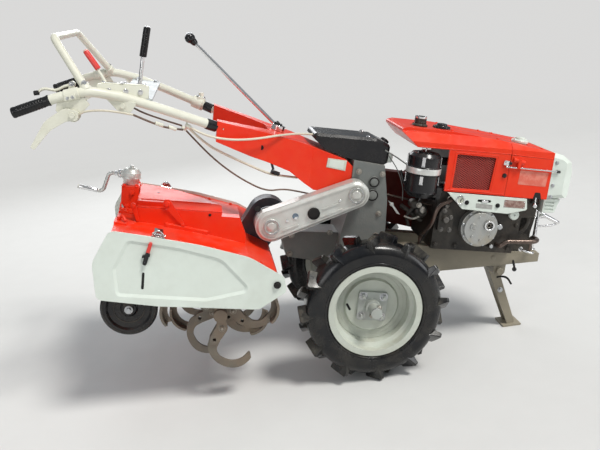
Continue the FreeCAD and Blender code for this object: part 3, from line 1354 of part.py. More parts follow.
# Bends of a handle tube: x, z, share of the way from the socket out to the grip's plane, bend radius
BAR_BENDS = (
    (-793, 647, 0.5, 400),
    (-916, 678, 0.8, 220),
    (-1010, 690, 1.0, 130),
    (-1105, 660, 1.0, 300),
)
BAR_SOCKET = (-606, 593)
BAR_END = (-1228, 604)


def bar_points(side):
    """Ends and bends of a handle tube, from inside its horn to the grip's end."""
    inner = float(size.socket_y)
    outer = float(size.grip_y)
    points = [Vector(BAR_SOCKET[0], inner * side, BAR_SOCKET[1])]
    points += [Vector(x, (inner + (outer - inner) * share) * side, z) for x, z, share, bend in BAR_BENDS]
    points += [Vector(BAR_END[0], outer * side, BAR_END[1])]
    into_horn = (points[0] - points[1]).normalize()
    points[0] += into_horn * float(size.socket_depth)
    return points


def bar_tube(side, radius):
    """A handle tube's own form: out and back from its horn, then down to the grip's end."""
    return bent_rod(bar_points(side), radius, [bend for x, z, share, bend in BAR_BENDS])


def seated_on_bars(form, sides=(1, -1)):
    """Cut a fitting's end to the handle tube that it is fastened on."""
    for side in sides:
        form = form.cut(bar_tube(side, size.bar_radius + size.seat_gap))
    return form


def handlebar(side, hand):
    """Handle tube from its socket in a horn to the grip's end."""
    y = 346.0 * side
    lug = [(-962, 672), (-923, 636), (-902, 630), (-881, 631), (-867, 654), (-867, 664)]
    outline = Part.makePolygon([Vector(x, y - 4, z) for x, z in lug + lug[:1]])
    fittings = [Part.Face(outline).extrude(Vector(0, 8, 0))]
    fittings.append(Part.makeCylinder(8, 18, Vector(-906, y - 9, 650), Vector(0, 1, 0)))
    if side > 0:
        socket, bend = bar_points(side)[:2]
        along = (bend - socket).normalize()
        clamp = Part.makeCylinder(24, 42, socket + along * 66, along)
        ear = rod_along(socket + along * 72 + Vector(0, 0, 10), socket + along * 78 + Vector(0, 0, 44), 10)
        fittings += [clamp, ear]
    return finished(f"handlebar_{hand}", bar_tube(side, size.bar_radius).fuse(fittings))


def grip(side, hand):
    """Rubber grip sleeved over the tube's end."""
    start = Vector(-1105, float(size.grip_y) * side, 660)
    end = Vector(-1228, float(size.grip_y) * side, 604)
    along = (end - start).normalize()
    first = end - along * (float(size.grip_length) - 6)
    outside = Part.makeCylinder(float(size.grip_radius), float(size.grip_length), first, along)
    bore = Part.makeCylinder(float(size.bar_radius) + 0.2, float(size.grip_length) - 5, first, along)
    return finished(f"grip_{hand}", outside.cut(bore))


def handle_loop():
    """Upper hoop between the handle tubes."""
    y = float(size.grip_y)
    points = [(-1010, -y, 686), (-1135, -y + 116, 834), (-1135, y - 116, 834), (-1010, y, 686)]
    return finished("handle_loop", seated_on_bars(bent_rod(points, size.loop_radius, 45)))


def cross_plate():
    """Flat plate that ties the two handle tubes and carries the main clutch lever."""
    corners = [(-925, 336), (-925, -336), (-818, -306), (-818, 306)]
    outline = Part.makePolygon([Vector(x, y, 668) for x, y in corners + corners[:1]])
    plate = Part.Face(outline).extrude(Vector(0, 0, 6))
    return finished("cross_plate", largest(seated_on_bars(plate)))


def largest(shape):
    """The biggest solid of a cut form, without the slivers beyond the tubes."""
    return max(shape.Solids, key=lambda solid: solid.Volume)


def clutch_bracket(side, hand):
    """Cast bracket under a handle tube that carries a side-clutch lever."""
    corners = [(-1100, 660), (-1030, 684), (-1004, 648), (-1040, 604), (-1072, 598), (-1104, 622)]
    y = float(size.grip_y) * side
    half = float(size.bracket_half_width)
    outline = Part.makePolygon([Vector(x, y - half, z) for x, z in corners + corners[:1]])
    plate = Part.Face(outline).extrude(Vector(0, half * 2, 0))
    return finished(f"clutch_bracket_{hand}", lowest(seated_on_bars(plate, (side,))))


def lowest(shape):
    """The solid that lies lowest, below the tube that cut it."""
    return min(shape.Solids, key=lambda solid: solid.CenterOfMass.z)


def side_clutch_lever(side, hand):
    """Long curved lever hung below the grip: a blade, broad at its pivot and slender at its end."""
    body = new_body(f"side_clutch_lever_{hand}")
    inner = size.grip_y + size.bracket_half_width + size.seat_gap
    blade = sketch(body, "XZ_Plane", [list(LEVER_BLADE)], shift=(0, 0, inner * -side))
    pad(body, blade, size.lever_blade, back=side > 0)
    bolt = sketch(body, "XZ_Plane", circles=[(-1054, 613, 9)],
                  shift=(0, 0, (inner + size.lever_blade - 1) * -side))
    pad(body, bolt, 7, back=side > 0)
    return body


# Side-clutch lever's outline: x, z, corner radius
LEVER_BLADE = (
    (-1034, 626, 10), (-1078, 634, 30), (-1135, 588, 70), (-1176, 503, 4), (-1164, 496, 4),
    (-1118, 560, 70), (-1072, 592, 30), (-1036, 598, 12))


def clutch_lever():
    """Main clutch lever standing on the cross plate, with a long grip."""
    rod = rod_along((-879, 0, 674.8), (-872, 0, 790), 7)
    knob = rod_along((-872, 0, 788), (-863, 0, 884), 12)
    return finished("clutch_lever", rod.fuse(knob))


def shift_lever():
    """Gear lever with a ball knob, rising rearwards from the column."""
    gate = Part.makeCylinder(26, 20, Vector(-372, 0, 565.4), Vector(0.235, 0, 1))
    rod = rod_along((-368, 0, 575), (-705, 0, 858), 6.5)
    knob = Part.makeSphere(18, Vector(-713, 0, 865))
    return finished("shift_lever", rod.fuse([knob, gate]))


def throttle_lever():
    """Throttle lever beside the right grip, with its pivot seated on the tube."""
    y = -352
    points = [(-1165, y, 668), (-1146, y, 684), (-1107, y, 680), (-1084, y, 696), (-1058, y, 704)]
    rod = bent_rod(points, 4.5)
    tip = Part.makeSphere(7, Vector(*points[0]))
    pivot = Part.makeCylinder(10, 16, Vector(-1060, y - 8, 704), Vector(0, 1, 0))
    foot = Part.makeBox(18, 16, 24, Vector(-1070, y - 10, 676))
    form = seated_on_bars(rod.fuse([tip, pivot, foot]), (-1,))
    return finished("throttle_lever", largest(form))


def tiller_lever():
    """Tiller clutch lever in its cast housing on the right handle tube."""
    rod = rod_along((-955, -318, 702), (-1018, -300, 790), 5)
    grip_end = rod_along((-990, -308, 755), (-1032, -296, 806), 8.5)
    corners = [(-985, -362), (-830, -306), (-838, -280), (-970, -312)]
    outline = Part.makePolygon([Vector(x, y, 674.3) for x, y in corners + corners[:1]])
    case = Part.Face(outline).extrude(Vector(0, 0, 40))
    case = max(seated_on_bars(case, (-1,)).Solids, key=lambda solid: solid.CenterOfMass.z)
    return finished("tiller_lever", rod.fuse([grip_end, case]))


# Control cables, from the handles to the column: x, y, z and the sheath's radius
CABLE_ROUTES = {
    "shift_cable": (4, ((-700, -262, 592), (-650, -264, 566), (-560, -262, 556), (-470, -220, 560),
                        (-380, -160, 572), (-300, -100, 575), (-248.6, -66, 571))),
    "clutch_cable": (4, ((-700, -240, 585), (-640, -218, 530), (-560, -205, 494), (-470, -186, 458),
                         (-400, -150, 428), (-340, -106, 416), (-290, -70, 407))),
    "throttle_cable": (3, ((-712, -222, 577), (-650, -208, 516), (-580, -196, 458), (-500, -182, 408),
                           (-410, -164, 368), (-345, -122, 372), (-290, -96, 362), (-220, -92, 351),
                           (-150, -86, 349), (-92.5, -80, 356))),
}


def cable(name, radius, route):
    """One sheathed cable, whose volume is compared with its section times its length."""
    rod = bent_rod(route, radius)
    spots = [Vector(*point) for point in route]
    length = 0.0
    bends = []
    for before, corner, after in zip(spots, spots[1:], spots[2:]):
        half = (before - corner).getAngle(after - corner) / 2
        trim = 0.45 * min((corner - before).Length, (after - corner).Length)
        bends.append(trim * math.tan(half))
        length += (corner - before).Length - 2 * trim + bends[-1] * (math.pi - 2 * half)
    length += (spots[-1] - spots[-2]).Length
    share = rod.Volume / (math.pi * radius ** 2 * length)
    if min(bends) < 10 * radius or abs(share - 1) > 0.001:
        raise ValueError(f"{name} bends too tightly or is pinched: {min(bends):.1f}, {share:.4f}")
    print(f"{name} {length:.1f} mm long, bends {[round(bend) for bend in bends]}, volume {share:.5f}")
    return finished(name, rod)


def engine_pipes():
    """Rail pipe along the crankcase, hose from the pump to the beam and the governor's rod."""
    side = -float(size.block_half_width + size.seat_gap)
    foot = float(size.beam_top_z + size.seat_gap)
    rail = bent_rod([(494, side, 220), (494, side - 34, 220), (516, side - 34, 242),
                     (653, side - 34, 250), (653, -88, 250), (653, -88, foot)], 8.5)
    out = side - 21
    hose = bent_rod([(288, side, 388), (288, out, 388), (232, out, 356), (222, out, 290),
                     (206, -126, 244), (206, -88, 226), (206, -88, foot)], 7)
    rod = rod_along((49.5, -90, 374), (235.7, -90, 344), 3.5)
    return finished("engine_pipes", Part.makeCompound([rail, hose, rod]))


def build():
    for side, hand in ((-1, "right"), (1, "left")):
        rim(side, hand)
        tyre(side, hand)
        hub(side, hand)
        side_panel(side, hand)
        mesh_panel(side, hand)
        engine_mesh(side, hand)
        handlebar(side, hand)
        grip(side, hand)
        clutch_bracket(side, hand)
        side_clutch_lever(side, hand)
    for maker in (gearbox, axle_housings, chain_case, rear_hitch, handle_column, top_cover,
                  tiller_hood, tiller_drive, tine_rotor, gauge_guide, crank_head, crank_handle,
                  gauge_leg, gauge_wheel, chassis, front_stand, front_guard, engine_block, gear_case,
                  belt_guard, hood, radiator_housing, front_cowl, lower_grille, skirt_panel,
                  air_cleaner, exhaust, filler_caps, handle_loop, cross_plate, clutch_lever,
                  shift_lever, tiller_lever, throttle_lever, engine_pipes):
        maker()
    for name, (radius, route) in CABLE_ROUTES.items():
        cable(name, radius, route)


def write():
    doc.recompute()
    faults = [item.Name for item in doc.Objects if {"Invalid", "Error"} & set(item.State)]
    faults += [piece.Label for piece in PARTS if piece.Shape.isNull() or not piece.Shape.isValid()]
    if faults:
        raise ValueError(f"failed: {faults}")
    os.makedirs("parts", exist_ok=True)
    for piece in PARTS:
        piece.Shape.exportStep(f"parts/{piece.Label}.step")
        box = piece.Shape.BoundBox
        print(f"{piece.Label:26s} {len(piece.Shape.Solids)} solids {piece.Shape.Volume / 1000:9.1f} cm3 "
              f"x {box.XMin:7.1f} {box.XMax:7.1f} y {box.YMin:7.1f} {box.YMax:7.1f} "
              f"z {box.ZMin:7.1f} {box.ZMax:7.1f}")


build()
write()
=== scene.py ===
"""The looks of a walking tractor with its rear rotary tiller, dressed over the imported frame."""

import json
import logging
import math
from collections.abc import Iterable, Iterator, Sequence
from dataclasses import dataclass
from enum import Enum

import bmesh
import bpy
from mathutils import Matrix, Vector


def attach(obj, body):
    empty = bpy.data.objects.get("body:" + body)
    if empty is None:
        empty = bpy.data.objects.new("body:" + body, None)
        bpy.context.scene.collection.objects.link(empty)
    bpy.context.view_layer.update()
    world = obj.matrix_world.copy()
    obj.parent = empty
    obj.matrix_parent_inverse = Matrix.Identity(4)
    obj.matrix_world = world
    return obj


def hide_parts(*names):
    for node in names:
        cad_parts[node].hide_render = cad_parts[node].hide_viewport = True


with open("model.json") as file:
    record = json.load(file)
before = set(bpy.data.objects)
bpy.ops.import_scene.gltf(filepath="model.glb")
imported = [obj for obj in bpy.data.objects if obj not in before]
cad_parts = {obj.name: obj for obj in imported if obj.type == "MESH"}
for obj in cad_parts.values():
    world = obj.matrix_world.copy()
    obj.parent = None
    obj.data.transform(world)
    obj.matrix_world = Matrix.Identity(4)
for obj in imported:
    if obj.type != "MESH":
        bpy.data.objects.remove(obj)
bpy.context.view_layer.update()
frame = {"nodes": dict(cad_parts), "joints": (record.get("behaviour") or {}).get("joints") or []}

log = logging.getLogger("walking_tractor")

Colour = tuple[float, float, float]
Corner = Sequence[float]
Outline = Sequence[Corner]
Socket = bpy.types.NodeSocket
MM = 0.001
UP = (0, 0, 1)
FORWARD = (1, 0, 0)
OUT = (0, 1, 0)


class Machine:
    """The machine's own level frame (x forward, y left, z up, millimetres), read from its joints."""

    def __init__(self, joints: Sequence[dict]) -> None:
        """Find the axle and the pitch that the machine is parked at.

        Args:
            joints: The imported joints, with the wheels' spin and the gauge leg's slide among them.
        """
        by_name = {joint["name"]: joint for joint in joints}
        axle = by_name["wheel_right_spin"]["pos_m"]
        upward = by_name["gauge_height"]["axis"]
        turn = Matrix.Rotation(math.atan2(upward[0], upward[2]), 4, "Y")
        self.matrix = Matrix.Translation((axle[0], 0.0, axle[2])) @ turn @ Matrix.Scale(MM, 4)

    def at(self, x: float, y: float, z: float) -> Vector:
        """Give the parked place, in metres, of a point of the level machine, in millimetres."""
        return self.matrix @ Vector((x, y, z))


MACHINE = Machine(frame["joints"])


class Side(Enum):
    """The two sides of the machine, by their sign along y."""

    RIGHT = -1
    LEFT = 1

    @property
    def hand(self) -> str:
        """The word that piece names end with."""
        return self.name.lower()


# Shader groups


class Graph:
    """A shader node tree that is wired from left to right."""

    def __init__(self, tree: bpy.types.NodeTree) -> None:
        """Start wiring a material's or a group's node tree."""
        self.tree = tree

    def node(self, kind: str, **settings: object) -> bpy.types.Node:
        """Add a node and set its options and its inputs.

        Args:
            kind: Blender's name of the node type, without its ShaderNode prefix.
            settings: Options by name, and inputs by their label with _ for a space.

        Returns:
            The new node.
        """
        made = self.tree.nodes.new(f"ShaderNode{kind}")
        for name, value in settings.items():
            if hasattr(made, name):
                setattr(made, name, value)
            else:
                self.feed(made.inputs[name.replace("_", " ")], value)
        return made

    def feed(self, socket: Socket, value: object) -> None:
        """Link an output to a socket, or set the socket to a plain value."""
        if isinstance(value, Socket):
            self.tree.links.new(value, socket)
        else:
            socket.default_value = value

    def math(self, operation: str, *values: object, clamp: bool = False) -> Socket:
        """Add a Math node over the values and give its output."""
        made = self.node("Math", operation=operation, use_clamp=clamp)
        for socket, value in zip(made.inputs, values):
            self.feed(socket, value)
        return made.outputs[0]

    def product(self, one: object, two: object, clamp: bool = False) -> Socket:
        """Multiply two values."""
        return self.math("MULTIPLY", one, two, clamp=clamp)

    def mix(self, factor: object, first: object, second: object) -> Socket:
        """Mix two colours by a factor and give the colour."""
        made = self.node("Mix", data_type="RGBA", Factor=factor)
        self.feed(made.inputs[6], first)
        self.feed(made.inputs[7], second)
        return made.outputs[2]

    def ramp(self, value: object, low: float, high: float) -> Socket:
        """Stretch a value so that low comes out as 0 and high as 1, smoothly and clamped."""
        return self.node("MapRange", interpolation_type="SMOOTHSTEP", Value=value, From_Min=low,
                         From_Max=high).outputs["Result"]

    def place(self) -> Socket:
        """Give the place on the piece, in metres."""
        return self.node("TexCoord").outputs["Object"]

    def noise(self, scale: object, detail: float, roughness: float = 0.5) -> Socket:
        """Add cloudy noise over the piece and give its value."""
        return self.node("TexNoise", Vector=self.place(), Scale=scale, Detail=detail,
                         Roughness=roughness).outputs["Fac"]


class EffectGroup:
    """A shader effect shared by several materials: built once, placed with each one's values."""

    name = "effect"
    inputs: tuple[tuple[str, str, object], ...] = ()
    outputs: tuple[tuple[str, str], ...] = ()
    _trees: dict[str, bpy.types.NodeTree] = {}

    def build(self, graph: Graph, given: bpy.types.Node, result: bpy.types.Node) -> None:
        """Wire the effect between its input and output nodes."""
        raise NotImplementedError

    def tree(self) -> bpy.types.NodeTree:
        """Give the group's node tree, made on its first use.

        Returns:
            The shared tree.
        """
        if self.name not in self._trees:
            made = bpy.data.node_groups.new(self.name, "ShaderNodeTree")
            for label, kind, default in self.inputs:
                socket = made.interface.new_socket(label, in_out="INPUT", socket_type=f"NodeSocket{kind}")
                socket.default_value = default
            for label, kind in self.outputs:
                made.interface.new_socket(label, in_out="OUTPUT", socket_type=f"NodeSocket{kind}")
            self.build(Graph(made), made.nodes.new("NodeGroupInput"), made.nodes.new("NodeGroupOutput"))
            self._trees[self.name] = made
        return self._trees[self.name]

    def place(self, graph: Graph, **values: object) -> bpy.types.Node:
        """Place the group in a material.

        Args:
            graph: The material's graph.
            values: The group's inputs by label.

        Returns:
            The group node, whose outputs are linked on by the material.
        """
        made = graph.node("Group", node_tree=self.tree())
        for label, value in values.items():
            graph.feed(made.inputs[label], value)
        return made


class ColourDrift(EffectGroup):
    """Slow, cloudy change between a main colour and a faded one."""

    name = "colour_drift"
    inputs = (("Main", "Color", (1, 1, 1, 1)), ("Faded", "Color", (1, 1, 1, 1)),
              ("Scale", "Float", 6.0), ("Amount", "Float", 0.5))
    outputs = (("Color", "Color"),)
    finer, broad_share, fine_share = 7.0, 0.7, 0.3
    clouds = (0.38, 0.64)

    def build(self, graph: Graph, given: bpy.types.Node, result: bpy.types.Node) -> None:
        """Wire two sizes of noise into one mixing factor."""
        scale = given.outputs["Scale"]
        broad = graph.noise(scale, 3.0)
        fine = graph.noise(graph.product(scale, self.finer), 4.0)
        both = graph.math("ADD", graph.product(broad, self.broad_share), graph.product(fine, self.fine_share))
        factor = graph.product(graph.ramp(both, *self.clouds), given.outputs["Amount"])
        graph.feed(result.inputs["Color"], graph.mix(factor, given.outputs["Main"], given.outputs["Faded"]))


class SettledDust(EffectGroup):
    """Dust that lies on upward faces, in low corners and in cloudy patches."""

    name = "settled_dust"
    inputs = (("Amount", "Float", 0.3), ("Scale", "Float", 14.0), ("Low", "Float", 0.5))
    outputs = (("Mask", "Float"),)
    lying_share, low_share, everywhere = 0.55, 0.6, 0.18
    upward, patches = (0.2, 1.0), (0.36, 0.66)

    def build(self, graph: Graph, given: bpy.types.Node, result: bpy.types.Node) -> None:
        """Wire the upward normal, the height and noise into one mask."""
        normal = graph.node("TexCoord").outputs["Normal"]
        lying = graph.ramp(graph.node("SeparateXYZ", Vector=normal).outputs["Z"], *self.upward)
        height = graph.node("SeparateXYZ", Vector=graph.place()).outputs["Z"]
        risen = graph.math("DIVIDE", height, given.outputs["Low"], clamp=True)
        near_ground = graph.math("SUBTRACT", 1.0, risen)
        share = graph.math("ADD", graph.product(lying, self.lying_share),
                           graph.product(near_ground, self.low_share))
        mask = graph.product(graph.math("ADD", share, self.everywhere),
                             graph.ramp(graph.noise(given.outputs["Scale"], 6.0, 0.65), *self.patches))
        graph.feed(result.inputs["Mask"], graph.product(mask, given.outputs["Amount"], clamp=True))


class EdgeWear(EffectGroup):
    """Worn bare edges, and edges lightened as painted highlights, broken up by noise."""

    name = "edge_wear"
    inputs = (("Reach", "Float", 0.003), ("Amount", "Float", 0.5), ("Scale", "Float", 60.0))
    outputs = (("Mask", "Float"), ("Rounded", "Vector"))
    turned, chips = (0.04, 0.25), (0.42, 0.62)

    def build(self, graph: Graph, given: bpy.types.Node, result: bpy.types.Node) -> None:
        """Compare the rounded normal with the real one, and break the result up."""
        soft = graph.node("Bevel", samples=4, Radius=given.outputs["Reach"]).outputs["Normal"]
        dot = graph.node("VectorMath", operation="DOT_PRODUCT")
        graph.feed(dot.inputs[0], soft)
        graph.feed(dot.inputs[1], graph.node("NewGeometry").outputs["Normal"])
        graph.feed(result.inputs["Rounded"], soft)
        edge = graph.math("SUBTRACT", 1.0, dot.outputs["Value"])
        mask = graph.product(graph.ramp(edge, *self.turned),
                             graph.ramp(graph.noise(given.outputs["Scale"], 5.0, 0.7), *self.chips))
        graph.feed(result.inputs["Mask"], graph.product(mask, given.outputs["Amount"], clamp=True))


class SurfaceGrain(EffectGroup):
    """Height of a cast, moulded or sprayed surface, and a slow unevenness of its gloss."""

    name = "surface_grain"
    inputs = (("Scale", "Float", 200.0), ("Pits", "Float", 0.3))
    outputs = (("Height", "Float"), ("Gloss", "Float"))
    smear_scale = 9.0
    smears = (0.35, 0.68)

    def build(self, graph: Graph, given: bpy.types.Node, result: bpy.types.Node) -> None:
        """Wire noise and cell pits into one height."""
        scale = given.outputs["Scale"]
        cells = graph.node("TexVoronoi", Vector=graph.place(), Scale=scale).outputs["Distance"]
        height = graph.math("ADD", graph.noise(scale, 4.0), graph.product(cells, given.outputs["Pits"]))
        graph.feed(result.inputs["Height"], height)
        graph.feed(result.inputs["Gloss"], graph.ramp(graph.noise(self.smear_scale, 5.0, 0.6), *self.smears))


# Finishes


@dataclass(frozen=True)
class Finish:
    """One surface finish of the machine, with the values of its shared effects."""

    name: str
    slot: str
    colour: Colour
    faded: Colour
    roughness: float
    metallic: float = 0.0
    coat: float = 0.0
    specular: float = 0.5
    gloss_spread: float = 0.12
    grain: tuple[float, float] = (260.0, 0.05)
    pits: float = 0.2
    drift: float = 0.6
    drift_scale: float = 5.0
    dust: float = 0.35
    dust_colour: Colour = (0.33, 0.29, 0.22)
    dust_low: float = 0.5
    wear: float = 0.0
    wear_colour: Colour = (0.42, 0.39, 0.35)
    edge: float = 0.0016

    COAT_ROUGHNESS = 0.12
    DUST_ROUGHNESS = 0.5
    GRAIN_DISTANCE = 0.002

    def material(self) -> bpy.types.Material:
        """Build the finish as a material.

        Returns:
            The material, the same one for each call.
        """
        label = f"finish_{self.name}"
        ready = bpy.data.materials.get(label)
        if ready:
            return ready
        made = bpy.data.materials.new(label)
        made.use_nodes = True
        made.node_tree.nodes.clear()
        graph = Graph(made.node_tree)
        shader = graph.node("BsdfPrincipled", Metallic=self.metallic, Coat_Weight=self.coat,
                            Coat_Roughness=self.COAT_ROUGHNESS, Specular_IOR_Level=self.specular)
        graph.node("OutputMaterial", Surface=shader.outputs["BSDF"])
        colour = ColourDrift().place(graph, Main=(*self.colour, 1), Faded=(*self.faded, 1),
                                     Scale=self.drift_scale, Amount=self.drift).outputs["Color"]
        grain_scale, grain_depth = self.grain
        grain = SurfaceGrain().place(graph, Scale=grain_scale, Pits=self.pits)
        edges = EdgeWear().place(graph, Reach=self.edge, Amount=self.wear)
        rough = graph.math("MULTIPLY_ADD", grain.outputs["Gloss"], self.gloss_spread,
                           self.roughness - self.gloss_spread / 2)
        # The edge mask mixes in the edge colour: worn metal on most finishes, a painted edge highlight on the
        # red and white enamels
        if self.wear:
            worn_and_highlit = edges.outputs["Mask"]
            colour = graph.mix(worn_and_highlit, colour, (*self.wear_colour, 1))
            metal = graph.math("MULTIPLY_ADD", worn_and_highlit, 1 - self.metallic, self.metallic)
            graph.feed(shader.inputs["Metallic"], metal)
        if self.dust:
            dusty = SettledDust().place(graph, Amount=self.dust, Low=self.dust_low).outputs["Mask"]
            colour = graph.mix(dusty, colour, (*self.dust_colour, 1))
            rough = graph.math("MULTIPLY_ADD", dusty, self.DUST_ROUGHNESS, rough, clamp=True)
        bump = graph.node("Bump", Strength=grain_depth, Distance=self.GRAIN_DISTANCE,
                          Height=grain.outputs["Height"], Normal=edges.outputs["Rounded"])
        graph.feed(shader.inputs["Base Color"], colour)
        graph.feed(shader.inputs["Roughness"], rough)
        graph.feed(shader.inputs["Normal"], bump.outputs["Normal"])
        return made


# Its light orange edge colour is a painted highlight along the edges
RED_ENAMEL = Finish("red_enamel", "red_paint", (0.76, 0.024, 0.004), (0.76, 0.044, 0.009), 0.34, coat=0.05,
                    specular=0.26, grain=(420, 0.03), dust=0.16, wear=0.3, wear_colour=(0.7, 0.3, 0.2))
FADED_RED = Finish("faded_red", "red_paint", (0.66, 0.13, 0.085), (0.72, 0.22, 0.16), 0.5,
                   grain=(300, 0.05), drift=1.0, drift_scale=40, dust=0.2)
# Its edge colour, lighter than the paint, is a painted highlight along the edges
WHITE_ENAMEL = Finish("white_enamel", "white_paint", (0.66, 0.72, 0.66), (0.58, 0.63, 0.57), 0.34,
                      coat=0.08, grain=(420, 0.03), dust=0.22, wear=0.25, wear_colour=(0.85, 0.86, 0.82))
CREAM_ENAMEL = Finish("cream_enamel", "cream_paint", (0.72, 0.72, 0.62), (0.62, 0.61, 0.5), 0.38, coat=0.05,
                      grain=(420, 0.03), dust=0.2, wear=0.25)
PLATE_ENAMEL = Finish("plate_enamel", "cream_paint", (0.37, 0.4, 0.41), (0.44, 0.47, 0.475), 0.42,
                      grain=(240, 0.05), dust=0.25, wear=0.3)
WHEEL_ENAMEL = Finish("wheel_enamel", "wheel_paint", (0.52, 0.555, 0.49), (0.44, 0.47, 0.41), 0.38,
                      coat=0.05, dust=0.35, wear=0.3, wear_colour=(0.62, 0.64, 0.58))
KHAKI_ENAMEL = Finish("khaki_enamel", "grey_paint", (0.215, 0.19, 0.14), (0.27, 0.24, 0.18), 0.46,
                      grain=(180, 0.1), dust=0.4, wear=0.3)
GREY_CASTING = Finish("grey_casting", "grey_paint", (0.165, 0.178, 0.172), (0.22, 0.22, 0.205), 0.42,
                      metallic=0.25, grain=(150, 0.25), pits=0.5, dust=0.35, wear=0.3)
BLUE_CASTING = Finish("blue_casting", "dark_cast", (0.06, 0.072, 0.095), (0.12, 0.12, 0.12), 0.36,
                      metallic=0.5, grain=(160, 0.25), dust=0.3, wear=0.3)
SILVER_CASTING = Finish("silver_casting", "silver_cast", (0.66, 0.68, 0.65), (0.5, 0.48, 0.44), 0.36,
                        metallic=0.45, grain=(190, 0.14), pits=0.4, dust=0.3, wear=0.6,
                        wear_colour=(0.86, 0.86, 0.83))
GEAR_CASTING = Finish("gear_casting", "silver_cast", (0.42, 0.43, 0.42), (0.4, 0.34, 0.24), 0.32,
                      metallic=0.75, grain=(170, 0.2), pits=0.4, drift=0.9, dust=0.35)
DARK_CASTING = Finish("dark_casting", "dark_cast", (0.03, 0.028, 0.026), (0.075, 0.06, 0.048), 0.46,
                      metallic=0.5, grain=(140, 0.3), pits=0.5, dust=0.3)
BLACK_COVER = Finish("black_cover", "black_cover", (0.007, 0.007, 0.009), (0.012, 0.012, 0.014), 0.25,
                     coat=0.15, specular=0.34, grain=(380, 0.05), dust=0.1)
BLACK_STEEL = Finish("black_steel", "dark_cast", (0.006, 0.006, 0.007), (0.018, 0.016, 0.015), 0.34,
                     specular=0.25, dust=0.08)
TYRE_RUBBER = Finish("tyre_rubber", "tyre_rubber", (0.003, 0.0035, 0.005), (0.006, 0.0065, 0.008), 0.25,
                     coat=0.15, specular=0.34, grain=(240, 0.05), dust=0.1, edge=0.0025)
# The light dust on the bars' upward road faces is partly dust and partly a painted highlight of those sunlit
# faces
LUG_RUBBER_DUST_AND_HIGHLIGHT = Finish("lug_rubber", "tyre_rubber", (0.003, 0.0035, 0.005), (0.006, 0.0065, 0.008), 0.22,
                    coat=0.15, specular=0.34, grain=(240, 0.05), dust=0.3, dust_colour=(0.44, 0.4, 0.31),
                    dust_low=0.02, edge=0.0025)
GRIP_RUBBER = Finish("grip_rubber", "grip_rubber", (0.004, 0.004, 0.005), (0.009, 0.009, 0.01), 0.28,
                     coat=0.05, specular=0.32, grain=(300, 0.08), dust=0.06)
WORN_STEEL = Finish("worn_steel", "bright_steel", (0.42, 0.4, 0.36), (0.22, 0.17, 0.13), 0.4, metallic=0.9,
                    grain=(160, 0.14), dust=0.35)
ZINC = Finish("zinc_plate", "bright_steel", (0.52, 0.54, 0.56), (0.36, 0.35, 0.33), 0.28, metallic=0.9,
              grain=(260, 0.05), dust=0.2)
BROWN_STEEL = Finish("brown_steel", "bright_steel", (0.105, 0.075, 0.062), (0.2, 0.15, 0.13), 0.3,
                     metallic=0.8, grain=(200, 0.1), dust=0.15)
DULL_STEEL = Finish("dull_steel", "bright_steel", (0.14, 0.135, 0.13), (0.24, 0.21, 0.18), 0.38,
                    metallic=0.9, grain=(200, 0.1), dust=0.2)
SOIL_STEEL = Finish("soil_steel", "bright_steel", (0.16, 0.145, 0.125), (0.24, 0.17, 0.12), 0.44,
                    metallic=0.7, grain=(120, 0.25), pits=0.6, dust=0.5, wear=0.5,
                    wear_colour=(0.5, 0.48, 0.45))
CHROME = Finish("bright_chrome", "chrome", (0.8, 0.8, 0.81), (0.62, 0.6, 0.57), 0.12, metallic=1.0,
                gloss_spread=0.08, grain=(260, 0.02), drift=0.3, dust=0.12)
CREAM_SHEATH = Finish("cream_sheath", "cable_sheath", (0.66, 0.62, 0.5), (0.48, 0.43, 0.33), 0.42, dust=0.2)
BROWN_SHEATH = Finish("brown_sheath", "dark_sheath", (0.11, 0.07, 0.048), (0.18, 0.12, 0.09), 0.42,
                      dust=0.2)
RED_GRIP = Finish("red_grip", "red_paint", (0.68, 0.026, 0.018), (0.58, 0.04, 0.03), 0.34, coat=0.2,
                  dust=0.1)
MESH_RED = Finish("mesh_red", "red_paint", (0.5, 0.04, 0.028), (0.56, 0.09, 0.07), 0.45, grain=(300, 0.05),
                  dust=0.3)
# Near-black red of the sheet behind the engine mesh: painted shade
PAINTED_SHADE_RED = Finish("painted_shade_red", "red_paint", (0.06, 0.012, 0.012), (0.09, 0.02, 0.02), 0.7, dust=0.2)
PALE_METAL = Finish("pale_metal", "bright_steel", (0.7, 0.71, 0.69), (0.55, 0.54, 0.5), 0.34, metallic=0.45,
                    grain=(240, 0.04), dust=0.2)
# The belt guard's red paint, darkened as painted shadow
PAINTED_SHADOW_RED = Finish("painted_shadow_red", "red_paint", (0.14, 0.01, 0.006), (0.18, 0.02, 0.014), 0.5, specular=0.3,
                  dust=0.3)
HUB_STEEL = Finish("hub_steel", "bright_steel", (0.4, 0.43, 0.4), (0.3, 0.31, 0.29), 0.4, metallic=0.2,
                   grain=(200, 0.06), drift=0.5, dust=0.25, wear=0.3, wear_colour=(0.16, 0.15, 0.14))
LABEL = Finish("blank_label", "white_paint", (0.6, 0.62, 0.52), (0.5, 0.5, 0.42), 0.5, drift=0.8,
               drift_scale=60, dust=0.2)
GREY_PLATE = Finish("blank_grey_plate", "grey_paint", (0.3, 0.3, 0.28), (0.4, 0.4, 0.38), 0.4, drift=0.9,
                    drift_scale=80, dust=0.2)
BROWN_PLATE = Finish("blank_brown_plate", "grey_paint", (0.2, 0.1, 0.08), (0.36, 0.26, 0.22), 0.4,
                     drift=0.9, drift_scale=80, dust=0.2)
GLASS_BLUE = Finish("level_glass", "dark_cast", (0.1, 0.16, 0.22), (0.2, 0.26, 0.3), 0.15, coat=0.5,
                    dust=0.1)
# Black of holes, slots and notches, which is painted shade in the openings, and the real black of the gauge's
# needle
HOLE_SHADE_AND_BLACK = Finish("hole_shade_and_black", "dark_cast", (0.004, 0.004, 0.004), (0.008, 0.008, 0.008), 0.8, dust=0.05)

